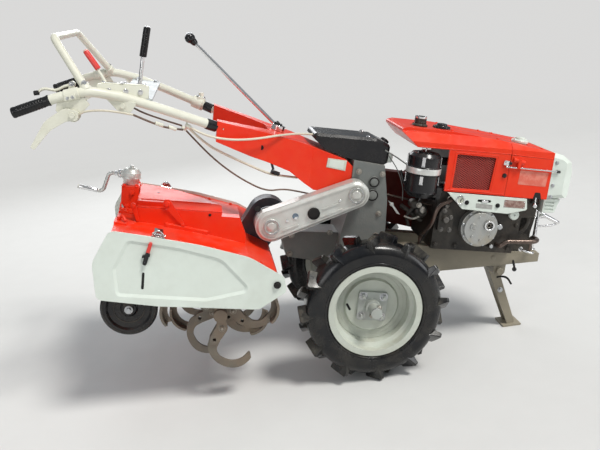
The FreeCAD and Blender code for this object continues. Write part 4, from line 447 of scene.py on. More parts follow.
# Finish of each piece that keeps its own solid, by name or by the start of its name
NODE_FINISHES: dict[Finish, tuple[str, ...]] = {
    RED_ENAMEL: ("handle_column", "tiller_hood", "hood", "mesh_panel", "radiator_housing", "gauge_guide"),
    # The belt guard's red is darkened as painted shadow
    PAINTED_SHADOW_RED: ("belt_guard",),
    WHITE_ENAMEL: ("tiller_panel", "front_cowl", "skirt_panel", "lower_grille"),
    CREAM_ENAMEL: ("handlebar", "handle_loop", "clutch_bracket", "side_clutch_lever", "tiller_lever",
                   "throttle_lever"),
    PLATE_ENAMEL: ("cross_plate",),
    GREY_CASTING: ("gearbox", "axle_housings", "rear_hitch"),
    KHAKI_ENAMEL: ("chassis", "front_stand"),
    SILVER_CASTING: ("chain_case", "crank_head", "crank_handle"),
    GEAR_CASTING: ("gear_case",),
    BLUE_CASTING: ("tiller_drive",),
    DARK_CASTING: ("gauge_leg", "exhaust", "engine_block"),
    BLACK_COVER: ("top_cover", "air_cleaner", "gauge_wheel"),
    BROWN_STEEL: ("engine_pipes",),
    WHEEL_ENAMEL: ("rim",),
    HUB_STEEL: ("hub",),
    SOIL_STEEL: ("tine_rotor",),
    CHROME: ("front_guard", "clutch_lever", "shift_lever"),
}


def dress_nodes(nodes: dict[str, bpy.types.Object]) -> None:
    """Give every carried-over piece its finish.

    Args:
        nodes: The frame's pieces by name.
    """
    for finish, stems in NODE_FINISHES.items():
        for name, piece in nodes.items():
            if name in stems or name.rsplit("_", 1)[0] in stems:
                if not piece.material_slots:
                    piece.data.materials.append(None)
                for holder in piece.material_slots:
                    holder.material = finish.material()


# Forms


def stand(place: Corner, axis: Corner, turn: float = 0.0) -> Matrix:
    """Take a form's own z axis to an axis at a place, turned about it by some degrees."""
    facing = Vector(axis).to_track_quat("Z", "Y").to_matrix().to_4x4()
    return Matrix.Translation(Vector(place)) @ facing @ Matrix.Rotation(math.radians(turn), 4, "Z")


def on_face(y: float, *spots: Corner) -> list[tuple[float, float, float]]:
    """Give spots (x, z) of a side face their y."""
    return [(x, y, z) for x, z in spots]


def around(u: float, v: float, radius: float, turns: Iterable[float]) -> list[tuple[float, float]]:
    """Spots on a circle about (u, v), at turns in degrees."""
    return [(u + radius * math.cos(math.radians(turn)), v + radius * math.sin(math.radians(turn)))
            for turn in turns]


def rounded(corners: Outline, steps: int = 5) -> list[tuple[float, float]]:
    """Turn corners (u, v) or (u, v, radius) into a plain outline whose round corners are stepped.

    Args:
        corners: The outline's corners, in order.
        steps: Steps in each round corner.

    Returns:
        The outline's points.
    """
    found = []
    for index, corner in enumerate(corners):
        here = Vector(corner[:2])
        if len(corner) < 3:
            found.append((here.x, here.y))
            continue
        radius = corner[2]
        back = (Vector(corners[index - 1][:2]) - here).normalized()
        ahead = (Vector(corners[(index + 1) % len(corners)][:2]) - here).normalized()
        half = back.angle(ahead) / 2
        centre = here + (back + ahead).normalized() * (radius / math.sin(half))
        reach = radius / math.tan(half)
        first, last = here + back * reach - centre, here + ahead * reach - centre
        start, sweep = math.atan2(first.y, first.x), math.atan2(first.cross(last), first.dot(last))
        found += around(*centre, radius, (math.degrees(start + sweep * step / steps)
                                          for step in range(steps + 1)))
    return found


def belt(one: Corner, two: Corner, steps: int = 8) -> list[tuple[float, float]]:
    """Outline round two circles (u, v, radius), joined by their outer tangents."""
    line = Vector(two[:2]) - Vector(one[:2])
    heading = math.degrees(math.atan2(line.y, line.x))
    lean = math.degrees(math.acos((one[2] - two[2]) / line.length))
    found = []
    for circle, start, end in ((one, heading + lean, heading + 360 - lean),
                               (two, heading - lean, heading + lean)):
        found += around(*circle, (start + (end - start) * step / steps for step in range(steps + 1)))
    return found


def flowing(points: Sequence[Corner], steps: int = 8) -> list[Vector]:
    """Smooth line through points, with steps between each two of them."""
    spots = [Vector(point) for point in points]
    spots = [spots[0] * 2 - spots[1], *spots, spots[-1] * 2 - spots[-2]]
    found = []
    for before, here, after, beyond in zip(spots, spots[1:], spots[2:], spots[3:]):
        for step in range(steps):
            share = step / steps
            found.append(0.5 * (2 * here + (after - before) * share
                                + (2 * before - 5 * here + 4 * after - beyond) * share ** 2
                                + (3 * here - before - 3 * after + beyond) * share ** 3))
    return [*found, spots[-2]]


class Form:
    """A mesh in the machine's own millimetres, put together from closed shapes.

    Shapes are written as they stand on the machine's left, and are carried to the form's side.
    Each method that adds a shape gives the form back.
    """

    WASHER = 1.6

    def __init__(self, side: Side = Side.LEFT) -> None:
        """Start an empty form on a side."""
        self.mesh = bmesh.new()
        self.side = side

    def both(self) -> Iterator["Form"]:
        """Give the form once for each side, so that the same shapes are added on both."""
        for side in Side:
            self.side = side
            yield self

    def at(self, corner: Corner) -> Vector:
        """Carry a corner or a direction to the form's side."""
        x, y, z = corner
        return Vector((x, y * self.side.value, z))

    def loft(self, rings: Sequence[Sequence[Corner]], closed: bool = False) -> "Form":
        """Skin rings of as many corners each, and close both ends or join the last ring to the first.

        Args:
            rings: The rings in order, each a list of corners on their own side.
            closed: True where the rings themselves run round.

        Returns:
            The form.
        """
        rows = [[self.mesh.verts.new(corner) for corner in ring] for ring in rings]
        count = len(rows[0])
        pairs = list(zip(rows, rows[1:]))
        if closed:
            pairs.append((rows[-1], rows[0]))
        for near, far in pairs:
            for step in range(count):
                after = (step + 1) % count
                self.mesh.faces.new((near[step], near[after], far[after], far[step]))
        if not closed:
            self.mesh.faces.new(rows[0])
            self.mesh.faces.new(rows[-1])
        return self

    def lathe(self, profile: Outline, place: Corner, axis: Corner = OUT, steps: int = 32,
              closed: bool = False, turn: float = 0.0) -> "Form":
        """Turn a profile of (radius, height) about an axis.

        Args:
            profile: The profile, from one end to the other, or all the way round.
            place: Where the axis has its zero height.
            axis: Where the height points.
            steps: Steps round the axis.
            closed: True for a ring whose profile runs all the way round.
            turn: Degrees that the first step is turned by.

        Returns:
            The form.
        """
        spot = stand(self.at(place), self.at(axis), turn)
        turns = [2 * math.pi * (step + 0.5) / steps for step in range(steps)]
        return self.loft([[spot @ Vector((radius * math.cos(angle), radius * math.sin(angle), height))
                           for angle in turns] for radius, height in profile], closed)

    def plate(self, outline: Outline, near: float, far: float) -> "Form":
        """Prism with an outline of (x, z) or (x, z, radius), from one y to another."""
        corners = rounded(outline)
        return self.loft([[self.at((x, y, z)) for x, z in corners] for y in (near, far)])

    def sheet(self, corners: Sequence[Corner], thick: Corner) -> "Form":
        """Flat piece with any corners, thickened along a vector."""
        near = [self.at(corner) for corner in corners]
        return self.loft([near, [corner + self.at(thick) for corner in near]])

    def bolt(self, *places: Corner, axis: Corner = OUT, across: float = 13.0, head: float = 6.0,
             washer: bool = True) -> "Form":
        """Hexagon bolt heads with their washers.

        Args:
            places: Where they seat.
            axis: Where their heads point.
            across: Width over a head's flats.
            head: Height of a head.
            washer: Whether a washer lies under each.

        Returns:
            The form.
        """
        corner, base = across / math.sqrt(3), self.WASHER if washer else 0.0
        for place in places:
            turn = place[0] * 7.0
            if washer:
                self.lathe([(across * 0.86, -0.5), (across * 0.86, base)], place, axis, 24, turn=turn)
            self.lathe([(corner, base - 0.4), (corner, base + head * 0.8), (corner * 0.88, base + head)],
                       place, axis, 6, turn=turn)
        return self

    def stud(self, *places: Corner, axis: Corner = OUT, radius: float = 8.0, height: float = 5.0) -> "Form":
        """Low round heads with a domed top."""
        for place in places:
            self.lathe([(radius, -0.5), (radius, height * 0.5), (radius * 0.8, height * 0.85),
                        (radius * 0.4, height)], place, axis, 24)
        return self

    def tube(self, points: Sequence[Corner], radius: float, steps: int = 12, smooth: bool = True) -> "Form":
        """Round rod along points.

        Args:
            points: The points that it runs through.
            radius: Its radius.
            steps: Steps round it.
            smooth: Whether it flows through the points or runs straight between them.

        Returns:
            The form.
        """
        path = [self.at(point) for point in points]
        if smooth and len(path) > 2:
            path = flowing(path)
        across = None
        rings = []
        for index, here in enumerate(path):
            ahead = path[min(index + 1, len(path) - 1)] - path[max(index - 1, 0)]
            ahead.normalize()
            across = ahead.orthogonal() if across is None else across - ahead * across.dot(ahead)
            across.normalize()
            other = ahead.cross(across)
            rings.append([here + (across * math.cos(turn) + other * math.sin(turn)) * radius
                          for turn in (2 * math.pi * step / steps for step in range(steps))])
        return self.loft(rings)

    def ball(self, place: Corner, radius: float) -> "Form":
        """Ball about a place."""
        bmesh.ops.create_uvsphere(self.mesh, u_segments=24, v_segments=14, radius=radius,
                                  matrix=Matrix.Translation(self.at(place)))
        return self

    def place(self, name: str, finish: Finish, body: str = "chassis", bevel: float = 0.0,
              replaces: Sequence[str] = (), crease: float = 34.0) -> bpy.types.Object:
        """Park the form on the machine as a finished piece.

        Args:
            name: The piece's name.
            finish: Its surface.
            body: The body that carries it.
            bevel: Width of its rounded edges, in millimetres.
            replaces: The plain pieces that it stands for.
            crease: Edges that turn by less than these degrees are shaded smooth.

        Returns:
            The piece.
        """
        bmesh.ops.recalc_face_normals(self.mesh, faces=self.mesh.faces)
        self.mesh.transform(MACHINE.matrix)
        data = bpy.data.meshes.new(name)
        self.mesh.to_mesh(data)
        self.mesh.free()
        data.polygons.foreach_set("use_smooth", [True] * len(data.polygons))
        data.set_sharp_from_angle(angle=math.radians(crease))
        piece = bpy.data.objects.new(name, data)
        bpy.context.scene.collection.objects.link(piece)
        data.materials.append(finish.material())
        if bevel:
            soft = piece.modifiers.new("soft_edges", "BEVEL")
            soft.width, soft.segments, soft.limit_method = bevel * MM, 2, "ANGLE"
            soft.angle_limit = math.radians(crease)
            soft.harden_normals = True
        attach(piece, body)
        if replaces:
            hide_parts(*replaces)
        log.info("%s on %s, %d faces", name, body, len(data.polygons))
        return piece


# Running gear


@dataclass(frozen=True)
class DriveWheel:
    """Fine tyre, nuts and axle fittings of one drive wheel, which stand on its packed rim and hub."""

    side: Side
    track: float = 290.0
    lugs: int = 12
    sweep: float = 38.0
    crown: float = 3.6
    shoulder: float = 69.0
    pin_y: float = 341.0

    TREAD: Outline = ((152.9, 50.4), (173.3, 50.7), (176, 56.5), (182.5, 58.8), (184, 57.6), (185.5, 58.9),
                      (198, 58.9), (210, 58.4), (214, 58.6), (222, 55.8), (233, 50.5), (241, 43.5),
                      (246, 33), (247, 20), (247, 0))
    # Sections of a bar from its root outwards: radius, half its thickness, reach to the side
    LUG = ((204, 33, 49), (214, 27, 57), (226, 20.5, 60), (240, 15.5, 63.5), (254, 12, 67),
           (263, 10.4, 69), (269.7, 8.6, 64))

    def build(self) -> None:
        """Make the wheel's pieces."""
        self.carcass()
        self.bars()
        self.fittings()

    def finish(self, form: Form, name: str, finish: Finish, **options: object) -> None:
        """Place a form on the wheel's own body, with the wheel's side in its name."""
        form.place(name.format(self.side.hand), finish, f"wheel_{self.side.hand}", **options)

    def carcass(self) -> None:
        """Smooth round tyre without its bars."""
        ring = [*self.TREAD, *((radius, -height) for radius, height in reversed(self.TREAD[:-1]))]
        form = Form(self.side).lathe(ring, (0, self.track, 0), steps=96, closed=True)
        self.finish(form, "tyre_{}_carcass", TYRE_RUBBER, replaces=[f"tyre_{self.side.hand}"])

    def bars(self) -> None:
        """Two rows of slanted bars that wrap over the tyre's shoulders."""
        form = Form()
        middle = Matrix.Translation((0.0, self.track * self.side.value, 0.0))
        for row in (1, -1):
            for count in range(self.lugs):
                share = (count + (0.25 if row == 1 else 0.75)) / self.lugs
                spot = (middle @ Matrix.Rotation(2 * math.pi * share, 4, "Y")
                        @ Matrix.Translation((16, 0, 0))
                        @ Matrix.Rotation(math.radians(row * self.sweep), 4, "Z"))
                rings = []
                for radius, half, reach in self.LUG:
                    plan = ((-half, -3), (half, -3), (half, reach * 0.55), (half * 0.8, reach),
                            (-half * 0.8, reach), (-half, reach * 0.55))
                    rings.append([spot @ Vector((x, across * row, self.crowned(radius, across)))
                                  for x, across in plan])
                form.loft(rings)
        # The bars' finish lays dust and a painted highlight on their upward road faces
        self.finish(form, "tyre_{}_lugs", LUG_RUBBER_DUST_AND_HIGHLIGHT, bevel=2.2)

    def crowned(self, radius: float, across: float) -> float:
        """Radius of a bar's point, which rises towards the tyre's middle."""
        return radius + self.crown * (1.0 - across / self.shoulder)

    def fittings(self) -> None:
        """Nuts of the hub plate, the axle's cross pin, and the slot and ridges of the disc."""
        axle = (0, 0, 0)
        nuts = Form(self.side)
        for place in on_face(289.2, (-37.5, -37.5), (-37.5, 37.5), (37.5, -37.5), (37.5, 37.5)):
            nuts.bolt(place, across=19, head=10).lathe([(5, 10), (5, 16.6), (4, 17.4)], place, steps=16)
        nuts.lathe([(20.4, 353), (20.4, 362.2), (17.6, 362.9)], axle, steps=40)
        self.finish(nuts, "hub_{}_nuts", ZINC, bevel=0.6)
        pin = Form(self.side).lathe([(4.6, -27), (4.6, 27)], (0, self.pin_y, 0), (0.6, 0, 0.8), 16)
        for end in (-1, 1):
            pin.bolt((12.0 * end, self.pin_y, 16.0 * end), axis=(0.6 * end, 0, 0.8 * end))
        self.finish(pin, "hub_{}_pin", WORN_STEEL, bevel=0.5)
        # The disc's slot is a black plate: painted shade in the opening
        outline = [(x * 0.99 - 85, z - 11) for x, z in belt((-6, 9, 4.4), (6, -9, 4.4))]
        self.finish(Form(self.side).plate(outline, 276, 277.5), "rim_{}_slot", HOLE_SHADE_AND_BLACK)
        ridges = Form(self.side)
        for radius in (118.0, 131.0, 143.0):
            ridges.lathe([(radius - 1.8, 264), (radius - 1.2, 267.9), (radius + 1.2, 267.9),
                          (radius + 1.8, 264)], axle, steps=96, closed=True)
        self.finish(ridges, "rim_{}_ridges", WHEEL_ENAMEL, bevel=0.5)


# Cables


@dataclass(frozen=True)
class ControlCable:
    """One cable that both ends hold, as a smooth curve through the chosen points of its route."""

    name: str
    finish: Finish
    radius: float
    route: tuple[tuple[float, float, float], ...]

    def build(self) -> bpy.types.Object:
        """Lay the cable.

        Returns:
            The curve piece, which stands for the plain cable.
        """
        data = bpy.data.curves.new(f"{self.name}_curve", "CURVE")
        data.dimensions, data.bevel_depth, data.bevel_resolution = "3D", self.radius * MM, 4
        data.use_fill_caps = True
        line = data.splines.new("NURBS")
        line.points.add(len(self.route) - 1)
        for point, spot in zip(line.points, self.route):
            point.co = (*MACHINE.at(*spot), 1.0)
        line.order_u, line.resolution_u, line.use_endpoint_u = 3, 12, True
        data.materials.append(self.finish.material())
        piece = bpy.data.objects.new(f"{self.name}_sheath", data)
        bpy.context.scene.collection.objects.link(piece)
        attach(piece, "chassis")
        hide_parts(self.name)
        log.info("%s, %d points", piece.name, len(self.route))
        return piece


CABLES = (
    ControlCable("shift_cable", CREAM_SHEATH, 4.0, (
        (-700, -262, 592), (-650, -264, 566), (-560, -262, 556), (-470, -220, 560), (-380, -160, 572),
        (-300, -100, 575), (-248.6, -66, 571))),
    ControlCable("clutch_cable", CREAM_SHEATH, 4.0, (
        (-700, -240, 585), (-640, -218, 530), (-560, -205, 494), (-470, -186, 458), (-400, -150, 428),
        (-340, -106, 416), (-290, -70, 407))),
    ControlCable("throttle_cable", BROWN_SHEATH, 3.0, (
        (-712, -222, 577), (-650, -208, 516), (-580, -196, 458), (-500, -182, 408), (-410, -164, 368),
        (-345, -122, 372), (-290, -96, 362), (-220, -92, 351), (-150, -86, 349), (-92.5, -80, 356))),
)


# Handles and controls


@dataclass(frozen=True)
class Handles:
    """Grips, sleeves, clamps and the small controls on the two handle tubes."""

    grip_end: Corner = (-1122.4, 372.0, 652.1)
    grip_heading: Corner = (-0.9102, 0.0, -0.4144)
    tube_foot: Corner = (-606, 232, 593)
    tube_heading: Corner = (-187, 70, 54)
    ball_place: Corner = (-713, 0, 865)

    GRIP: Outline = ((15.9, 0), (17.4, 0.8), (17.4, 5.5), (16.2, 7.5), (15.9, 10), (16.3, 30), (17.0, 62),
                     (17.2, 96), (16.6, 108), (17.4, 112), (17.4, 118), (15.6, 121.2))

    def build(self) -> None:
        """Make the pieces of both sides, and then the controls between them."""
        for side in Side:
            self.grip(side)
            self.clamps(side)
        self.left_clip()
        self.throttle()
        self.outer_cables()
        self.tiller_control()
        self.clutch_grip()
        self.shift_knob()
        self.plate_bolts()

    def grip(self, side: Side) -> None:
        """Shaped rubber grip with its collars and bright end, and the black sleeve of the tube's foot."""
        spot = self.grip_end, self.grip_heading
        rubber = Form(side).lathe(self.GRIP, *spot, 40)
        for height in range(22, 104, 9):
            rubber.lathe([(15.2, height - 2.2), (17.3, height - 1.2), (17.3, height + 1.2),
                          (15.2, height + 2.2)], *spot, 40)
        rubber.place(f"grip_{side.hand}_rubber", GRIP_RUBBER, bevel=0.7, replaces=[f"grip_{side.hand}"])
        end = Form(side).lathe([(12.5, 120.6), (12.5, 121.6), (9, 121.9)], *spot)
        end.place(f"grip_{side.hand}_end", CHROME)
        sleeve = Form(side).lathe([(15, 1.0), (18.6, 1.6), (18.6, 34), (17.8, 37.4), (15, 38.2)],
                                  self.tube_foot, self.tube_heading, 40)
        sleeve.place(f"handlebar_{side.hand}_sleeve", BLACK_COVER, bevel=0.6)

    def clamps(self, side: Side) -> None:
        """Ring round the tube over the clutch bracket, its bolts and the lever's spring."""
        inward = (0, -1, 0)
        ring, bolts, spring = Form(side), Form(side), Form(side)
        ring.lathe([(15, -23), (19.2, -22.2), (19.2, 22.2), (15, 23)], (-1058, 372, 675),
                   (0.953, 0, 0.301), 40)
        ring.plate([(-1076, 655, 3), (-1042, 666, 3), (-1047, 681, 3), (-1081, 670, 3)], 386, 393.5)
        ring.lathe([(24, -3), (24, 2.8), (19, 7.4)], (-1054, 362, 613), inward)
        ring.place(f"clutch_bracket_{side.hand}_ring", CREAM_ENAMEL, bevel=1.4)
        bolts.bolt((-1068, 393.2, 664.5), (-1053, 393.2, 669.3), across=10, head=0.9, washer=False)
        bolts.bolt((-1054, 392.8, 613), head=1.3, washer=False)
        bolts.bolt((-1054, 354.6, 613), axis=inward, across=14)
        bolts.bolt((-906, 330, 676.3), axis=UP, across=12, head=5)
        bolts.place(f"clutch_bracket_{side.hand}_bolts", ZINC, bevel=0.6)
        spring.tube([(-1098, 383, 616), (-1080, 362, 606), (-1060, 356, 598)], 2.4)
        spring.place(f"clutch_bracket_{side.hand}_spring", ZINC)

    def left_clip(self) -> None:
        """Pale clip block on the left tube, beside its sleeve, with its bolts."""
        form = Form().lathe([(15, 41), (20.5, 41.8), (20.5, 68), (15, 69)], self.tube_foot,
                            self.tube_heading, 40)
        form.plate([(-672, 620, 4), (-642, 613, 4), (-638, 629, 4), (-668, 637, 4)], 236, 262)
        form.place("handlebar_left_clip", CREAM_ENAMEL, bevel=1.4)
        bolts = Form().bolt((-664, 249, 635.66), (-646, 249, 631.34), axis=(0.23, 0, 0.97), across=11, head=5)
        bolts.place("handlebar_left_clip_bolts", CHROME, bevel=0.6)

    def throttle(self) -> None:
        """Black quadrant beside the throttle lever, with its stop screws and the pivot's bolt."""
        quadrant, screws = Form(Side.RIGHT), Form(Side.RIGHT)
        quadrant.plate([(-1103, 668, 4), (-1060, 688, 12), (-1030, 690, 5), (-1022, 702, 4), (-1032, 712, 4),
                        (-1062, 707, 10), (-1106, 684, 5)], 341, 345)
        quadrant.lathe([(7.6, -8), (7.6, 8)], (-1166, 352, 668), (-0.98, 0, -0.2), 20)
        quadrant.place("throttle_quadrant", BLACK_COVER, bevel=0.8)
        screws.bolt((-1060, 360.2, 704), across=11, head=4)
        screws.bolt((-1096, 345, 676), (-1030, 345, 701), across=7, head=3, washer=False)
        screws.place("throttle_screws", CHROME, bevel=0.4)

    def outer_cables(self) -> None:
        """Outer cables that leave the levers and run beneath the right tube, with their adjusters."""
        pale, dark, ends = (Form(Side.RIGHT) for _ in range(3))
        pale.tube([(-1044, 378, 606), (-1019, 384, 626), (-971, 384, 635), (-920, 378, 634),
                   (-872, 366, 628)], 3.4)
        pale.place("clutch_outer_cable", CREAM_SHEATH)
        dark.tube([(-872, 366, 628), (-820, 336, 606), (-773, 300, 588), (-716, 262, 578)], 3.4)
        dark.tube([(-905, 300, 655), (-850, 285, 628), (-790, 262, 608), (-720, 238, 588)], 3.0)
        dark.place("clutch_inner_cable", BROWN_SHEATH)
        for place in ((-792, 318, 598), (-750, 284, 584)):
            ends.lathe([(5.2, -15), (6.4, -13), (6.4, 13), (5.2, 15)], place, (0.86, -0.5, -0.3), 8)
        for place in ((-700, 262, 592), (-700, 240, 585), (-712, 222, 577)):
            ends.lathe([(6.4, -9), (6.4, 9)], place, (0.9, -0.1, -0.35), 16)
        ends.tube([(-706, 250, 618), (-704, 262, 596), (-706, 240, 580), (-708, 222, 574)], 2.6)
        ends.place("cable_adjusters", CREAM_ENAMEL, bevel=0.6)

    def tiller_control(self) -> None:
        """Red sleeve of the tiller lever, and the cover, slot and screws of its housing."""
        sleeve, cover, slot, screws = (Form(Side.RIGHT) for _ in range(4))
        sleeve.lathe([(8.0, -2), (9.4, 0), (9.4, 58), (9.0, 64), (6.5, 68.6), (3, 70)], (-990, 308, 755),
                     (-42, -12, 51), 28)
        sleeve.place("tiller_lever_sleeve", RED_GRIP)
        cover.sheet([(-976, 352, 714.2), (-840, 303, 714.2), (-845, 287, 714.2), (-966, 318, 714.2)],
                    (0, 0, 3.4))
        cover.place("tiller_lever_cover", CREAM_ENAMEL, bevel=1.2)
        # The cover's slot is a thin black sheet: painted shade in the opening
        slot.sheet([(-962, 330, 717.6), (-930, 318, 717.6), (-932, 311, 717.6), (-960, 321, 717.6)],
                   (0, 0, 0.8))
        slot.place("tiller_lever_slot", HOLE_SHADE_AND_BLACK)
        screws.bolt((-968, 340, 717.5), (-846, 297, 717.5), (-905, 314, 717.5), (-915, 327, 717.5), axis=UP,
                    across=8, head=3.2)
        screws.bolt((-950, 351, 694), (-900, 333, 694), (-856, 317, 694), axis=(0.3, 1, 0), across=10, head=4)
        screws.place("tiller_lever_screws", CHROME, bevel=0.4)

    def clutch_grip(self) -> None:
        """Long black grip of the main clutch lever, its bright cap and the lever's foot."""
        spot = (-872, 0, 788), (9, 0, 96)
        grip = Form().lathe([(10.5, -4), (12.7, -2), (12.7, 92), (12.2, 97), (10.6, 99.6)], *spot)
        for height in range(8, 88, 8):
            grip.lathe([(12.2, height - 1.6), (13.2, height), (12.2, height + 1.6)], *spot)
        grip.place("clutch_lever_grip", GRIP_RUBBER, bevel=0.5)
        cap = Form().lathe([(10.2, 99.4), (10.2, 101.0), (7.5, 102.4), (3, 103)], *spot)
        cap.place("clutch_lever_cap", CHROME)
        foot = Form().lathe([(20, 674.0), (20, 678), (13, 683), (10, 690)], (-879, 0, 0), UP)
        foot.place("clutch_lever_foot", BLACK_COVER, bevel=0.8)

    def shift_knob(self) -> None:
        """Black ball of the gear lever with its bright inset, and the boot at its gate."""
        ball = Form().ball(self.ball_place, 18.5)
        ball.lathe([(8.8, -30), (11.5, -24), (13.5, -14)], self.ball_place, (-337, 0, 283), 28)
        ball.place("shift_lever_ball", BLACK_COVER, crease=60)
        inset = Form().lathe([(9.4, 16.0), (9.4, 17.6), (6, 18.9), (2, 19.2)], self.ball_place,
                             (-0.25, -0.25, 1), 28)
        inset.place("shift_lever_inset", CHROME)
        boot = Form().lathe([(19, -3), (19, 3), (13, 6), (14, 9), (10, 12), (10.6, 15), (7.6, 20)],
                            (-372, 0, 580), (-0.5, 0, 1))
        boot.place("shift_lever_boot", BLACK_STEEL, bevel=0.8)

    def plate_bolts(self) -> None:
        """Bolts at the cross plate's corners, and cuffs and bolts at the feet of the upper hoop."""
        bolts, cuffs = Form(), Form()
        for form in bolts.both():
            form.bolt((-906, 300, 673.8), (-836, 278, 673.8), axis=UP, across=12, head=5)
            form.bolt((-1023, 368, 712), axis=(0.6, 1, 0.4), across=11, head=5)
        for form in cuffs.both():
            form.lathe([(12.6, 4), (16.4, 5), (16.4, 26), (12.6, 27)], (-1010, 372, 686), (-125, -116, 148))
        bolts.place("cross_plate_bolts", ZINC, bevel=0.5)
        cuffs.place("handle_loop_cuffs", CREAM_ENAMEL, bevel=1.0)


# Drive


@dataclass(frozen=True)
class DriveCases:
    """Fittings of the gearbox, the chain case, the column and the belt guard."""

    gearbox_y: float = 105.0
    pad_rise: float = 6.6
    boss_y: float = 178.0
    field_y: float = 169.0
    upper: tuple[float, float] = (-83.0, 379.0)
    lower: tuple[float, float] = (-379.0, 240.0)

    def build(self) -> None:
        """Make the pieces."""
        self.gearbox_fittings()
        self.chain_case_fittings()
        self.column_fittings()
        self.cover_fittings()
        self.flange_bolts()

    def gearbox_fittings(self) -> None:
        """Bolts and shaft caps on the gearbox's sides, and the flanges of its axle housings."""
        bolts, caps, rings = Form(), Form(Side.RIGHT), Form(Side.RIGHT)
        for form in bolts.both():
            pad = self.gearbox_y + (self.pad_rise if form.side is Side.RIGHT else 0.0)
            form.bolt(*on_face(pad, (20, 452), (-70, 455)))
            form.bolt(*on_face(self.gearbox_y, (26, 300), (26, 215), (-150, 215)))
            form.bolt(*on_face(131, *around(0, 0, 58, range(12, 372, 45))), head=7)
        bolts.place("gearbox_bolts", WORN_STEEL, bevel=0.6)
        for x, z, radius, face in ((-8, 420, 19.4, 113), (-9, 371, 21.4, 117)):
            rings.lathe([(radius, -1), (radius, 1.4), (radius - 4.5, 1.4), (radius - 4.5, -1)], (x, face, z),
                        steps=40, closed=True)
            caps.lathe([(radius - 5.5, -0.5), (radius - 5.5, 2.4), (radius - 8, 3.6), (3, 3.8)], (x, face, z),
                       steps=40)
        rings.place("gearbox_cap_rings", BLACK_STEEL, bevel=0.5)
        caps.place("gearbox_caps", GREY_CASTING, bevel=0.5)

    def chain_case_fittings(self) -> None:
        """Bright rings, caps, plug, sight disc and screws of the chain case."""
        rings, caps, plug, glass, screws = (Form(Side.RIGHT) for _ in range(5))
        for place in on_face(self.boss_y, self.upper, self.lower):
            rings.lathe([(28.4, -2), (28.4, 0.8), (23.6, 0.8), (23.6, -2)], place, steps=56, closed=True)
            caps.lathe([(16.4, -3), (16.4, 0.6), (13, 2.2), (4, 2.4)], place, steps=48)
        rings.place("chain_case_rings", ZINC, bevel=0.8)
        caps.place("chain_case_caps", SILVER_CASTING, bevel=0.6)
        plug.lathe([(22.8, 0), (22.8, 5.4), (20.5, 7.4), (12, 8.6), (3, 8.8)], (-231, 171, 300.5), steps=40)
        plug.place("chain_case_plug", BLACK_STEEL, bevel=0.5)
        glass.lathe([(11.4, -0.5), (11.4, 2.0), (8.5, 2.0), (8.5, 1.0)], (-296, self.field_y, 285))
        glass.place("chain_case_sight", GLASS_BLUE, bevel=0.4)
        screws.plate([(-301, 274, 2), (-288, 275, 2), (-287, 285, 2), (-299, 283, 2)], 170, 173)
        screws.bolt(*on_face(self.field_y, (-325, 266), (-140, 354)), across=9, head=3.5, washer=False)
        screws.place("chain_case_screws", CHROME, bevel=0.4)

    def column_fittings(self) -> None:
        """Blank label, cable hole and clip on the column's right side."""
        label, field, hole, clip = (Form(Side.RIGHT) for _ in range(4))
        face = Vector((0.0704, 0.9975, 0.0))
        spots = [Vector((x, 100.6 + (-80 - x) * 0.0706, z))
                 for x, z in ((-190, 496), (-118, 491), (-120, 452), (-193, 462))]
        middle = sum(spots, Vector()) / 4
        label.sheet(spots, face * 0.7).place("column_label", LABEL)
        field.sheet([spot.lerp(middle, 0.24) + face * 0.7 for spot in spots], face * 0.3)
        field.place("column_label_field", WHITE_ENAMEL)
        # The cable hole is a black disc: painted shade in the opening
        hole.lathe([(8.4, -2), (8.4, 0.9)], (-442, 172.2, 525), (-0.44, 0.9, 0.0), 28)
        hole.place("column_hole", HOLE_SHADE_AND_BLACK)
        clip.tube([(-402, 146, 478), (-396, 150, 462), (-390, 153, 446)], 4.5)
        clip.tube([(-398, 155, 440), (-384, 154, 436), (-368, 150, 431)], 7.5)
        clip.place("column_clip", BLACK_COVER)

    def cover_fittings(self) -> None:
        """Filler neck cap and bright screws of the low cover, and the breather beside it."""
        cap = Form().lathe([(17, 0), (17, 7), (12, 10), (3, 11)], (24, -52, 566), (0.55, 0, 1))
        cap.place("top_cover_cap", BLACK_STEEL, bevel=0.8)
        screws = Form().bolt((-225, 62, 575), (-225, -62, 575), (-40, 66, 579.5), (-40, -66, 579.5), axis=UP,
                             across=10, head=4)
        screws.place("top_cover_screws", CHROME, bevel=0.5)
        pale = Form().plate([(38, 490, 4), (58, 492, 5), (60, 522, 7), (40, 524, 4)], -56, -76)
        pale.place("breather_block", WHITE_ENAMEL, bevel=2.0)

    def flange_bolts(self) -> None:
        """Bolts round the belt guard and in the hitch's flange, and the hole of the tiller's drive."""
        guard = Form().bolt(*on_face(198, (-40, 300), (60, 392), (200, 410), (330, 402), (420, 300),
                                     (300, 200), (120, 195)))
        guard.place("belt_guard_bolts", ZINC, bevel=0.6)
        hitch = Form()
        for form in hitch.both():
            form.bolt((-286, 60, 108), (-286, 60, 182), across=14, head=7)
        hitch.place("rear_hitch_bolts", WORN_STEEL, bevel=0.6)
        # The drive's hole is a black disc: painted shade in the opening
        hole = Form().lathe([(11, -2), (11, 1.2)], (-428, -112, 288), (-0.3, -1, 0.5), 28)
        hole.place("tiller_drive_hole", HOLE_SHADE_AND_BLACK)


# Tiller


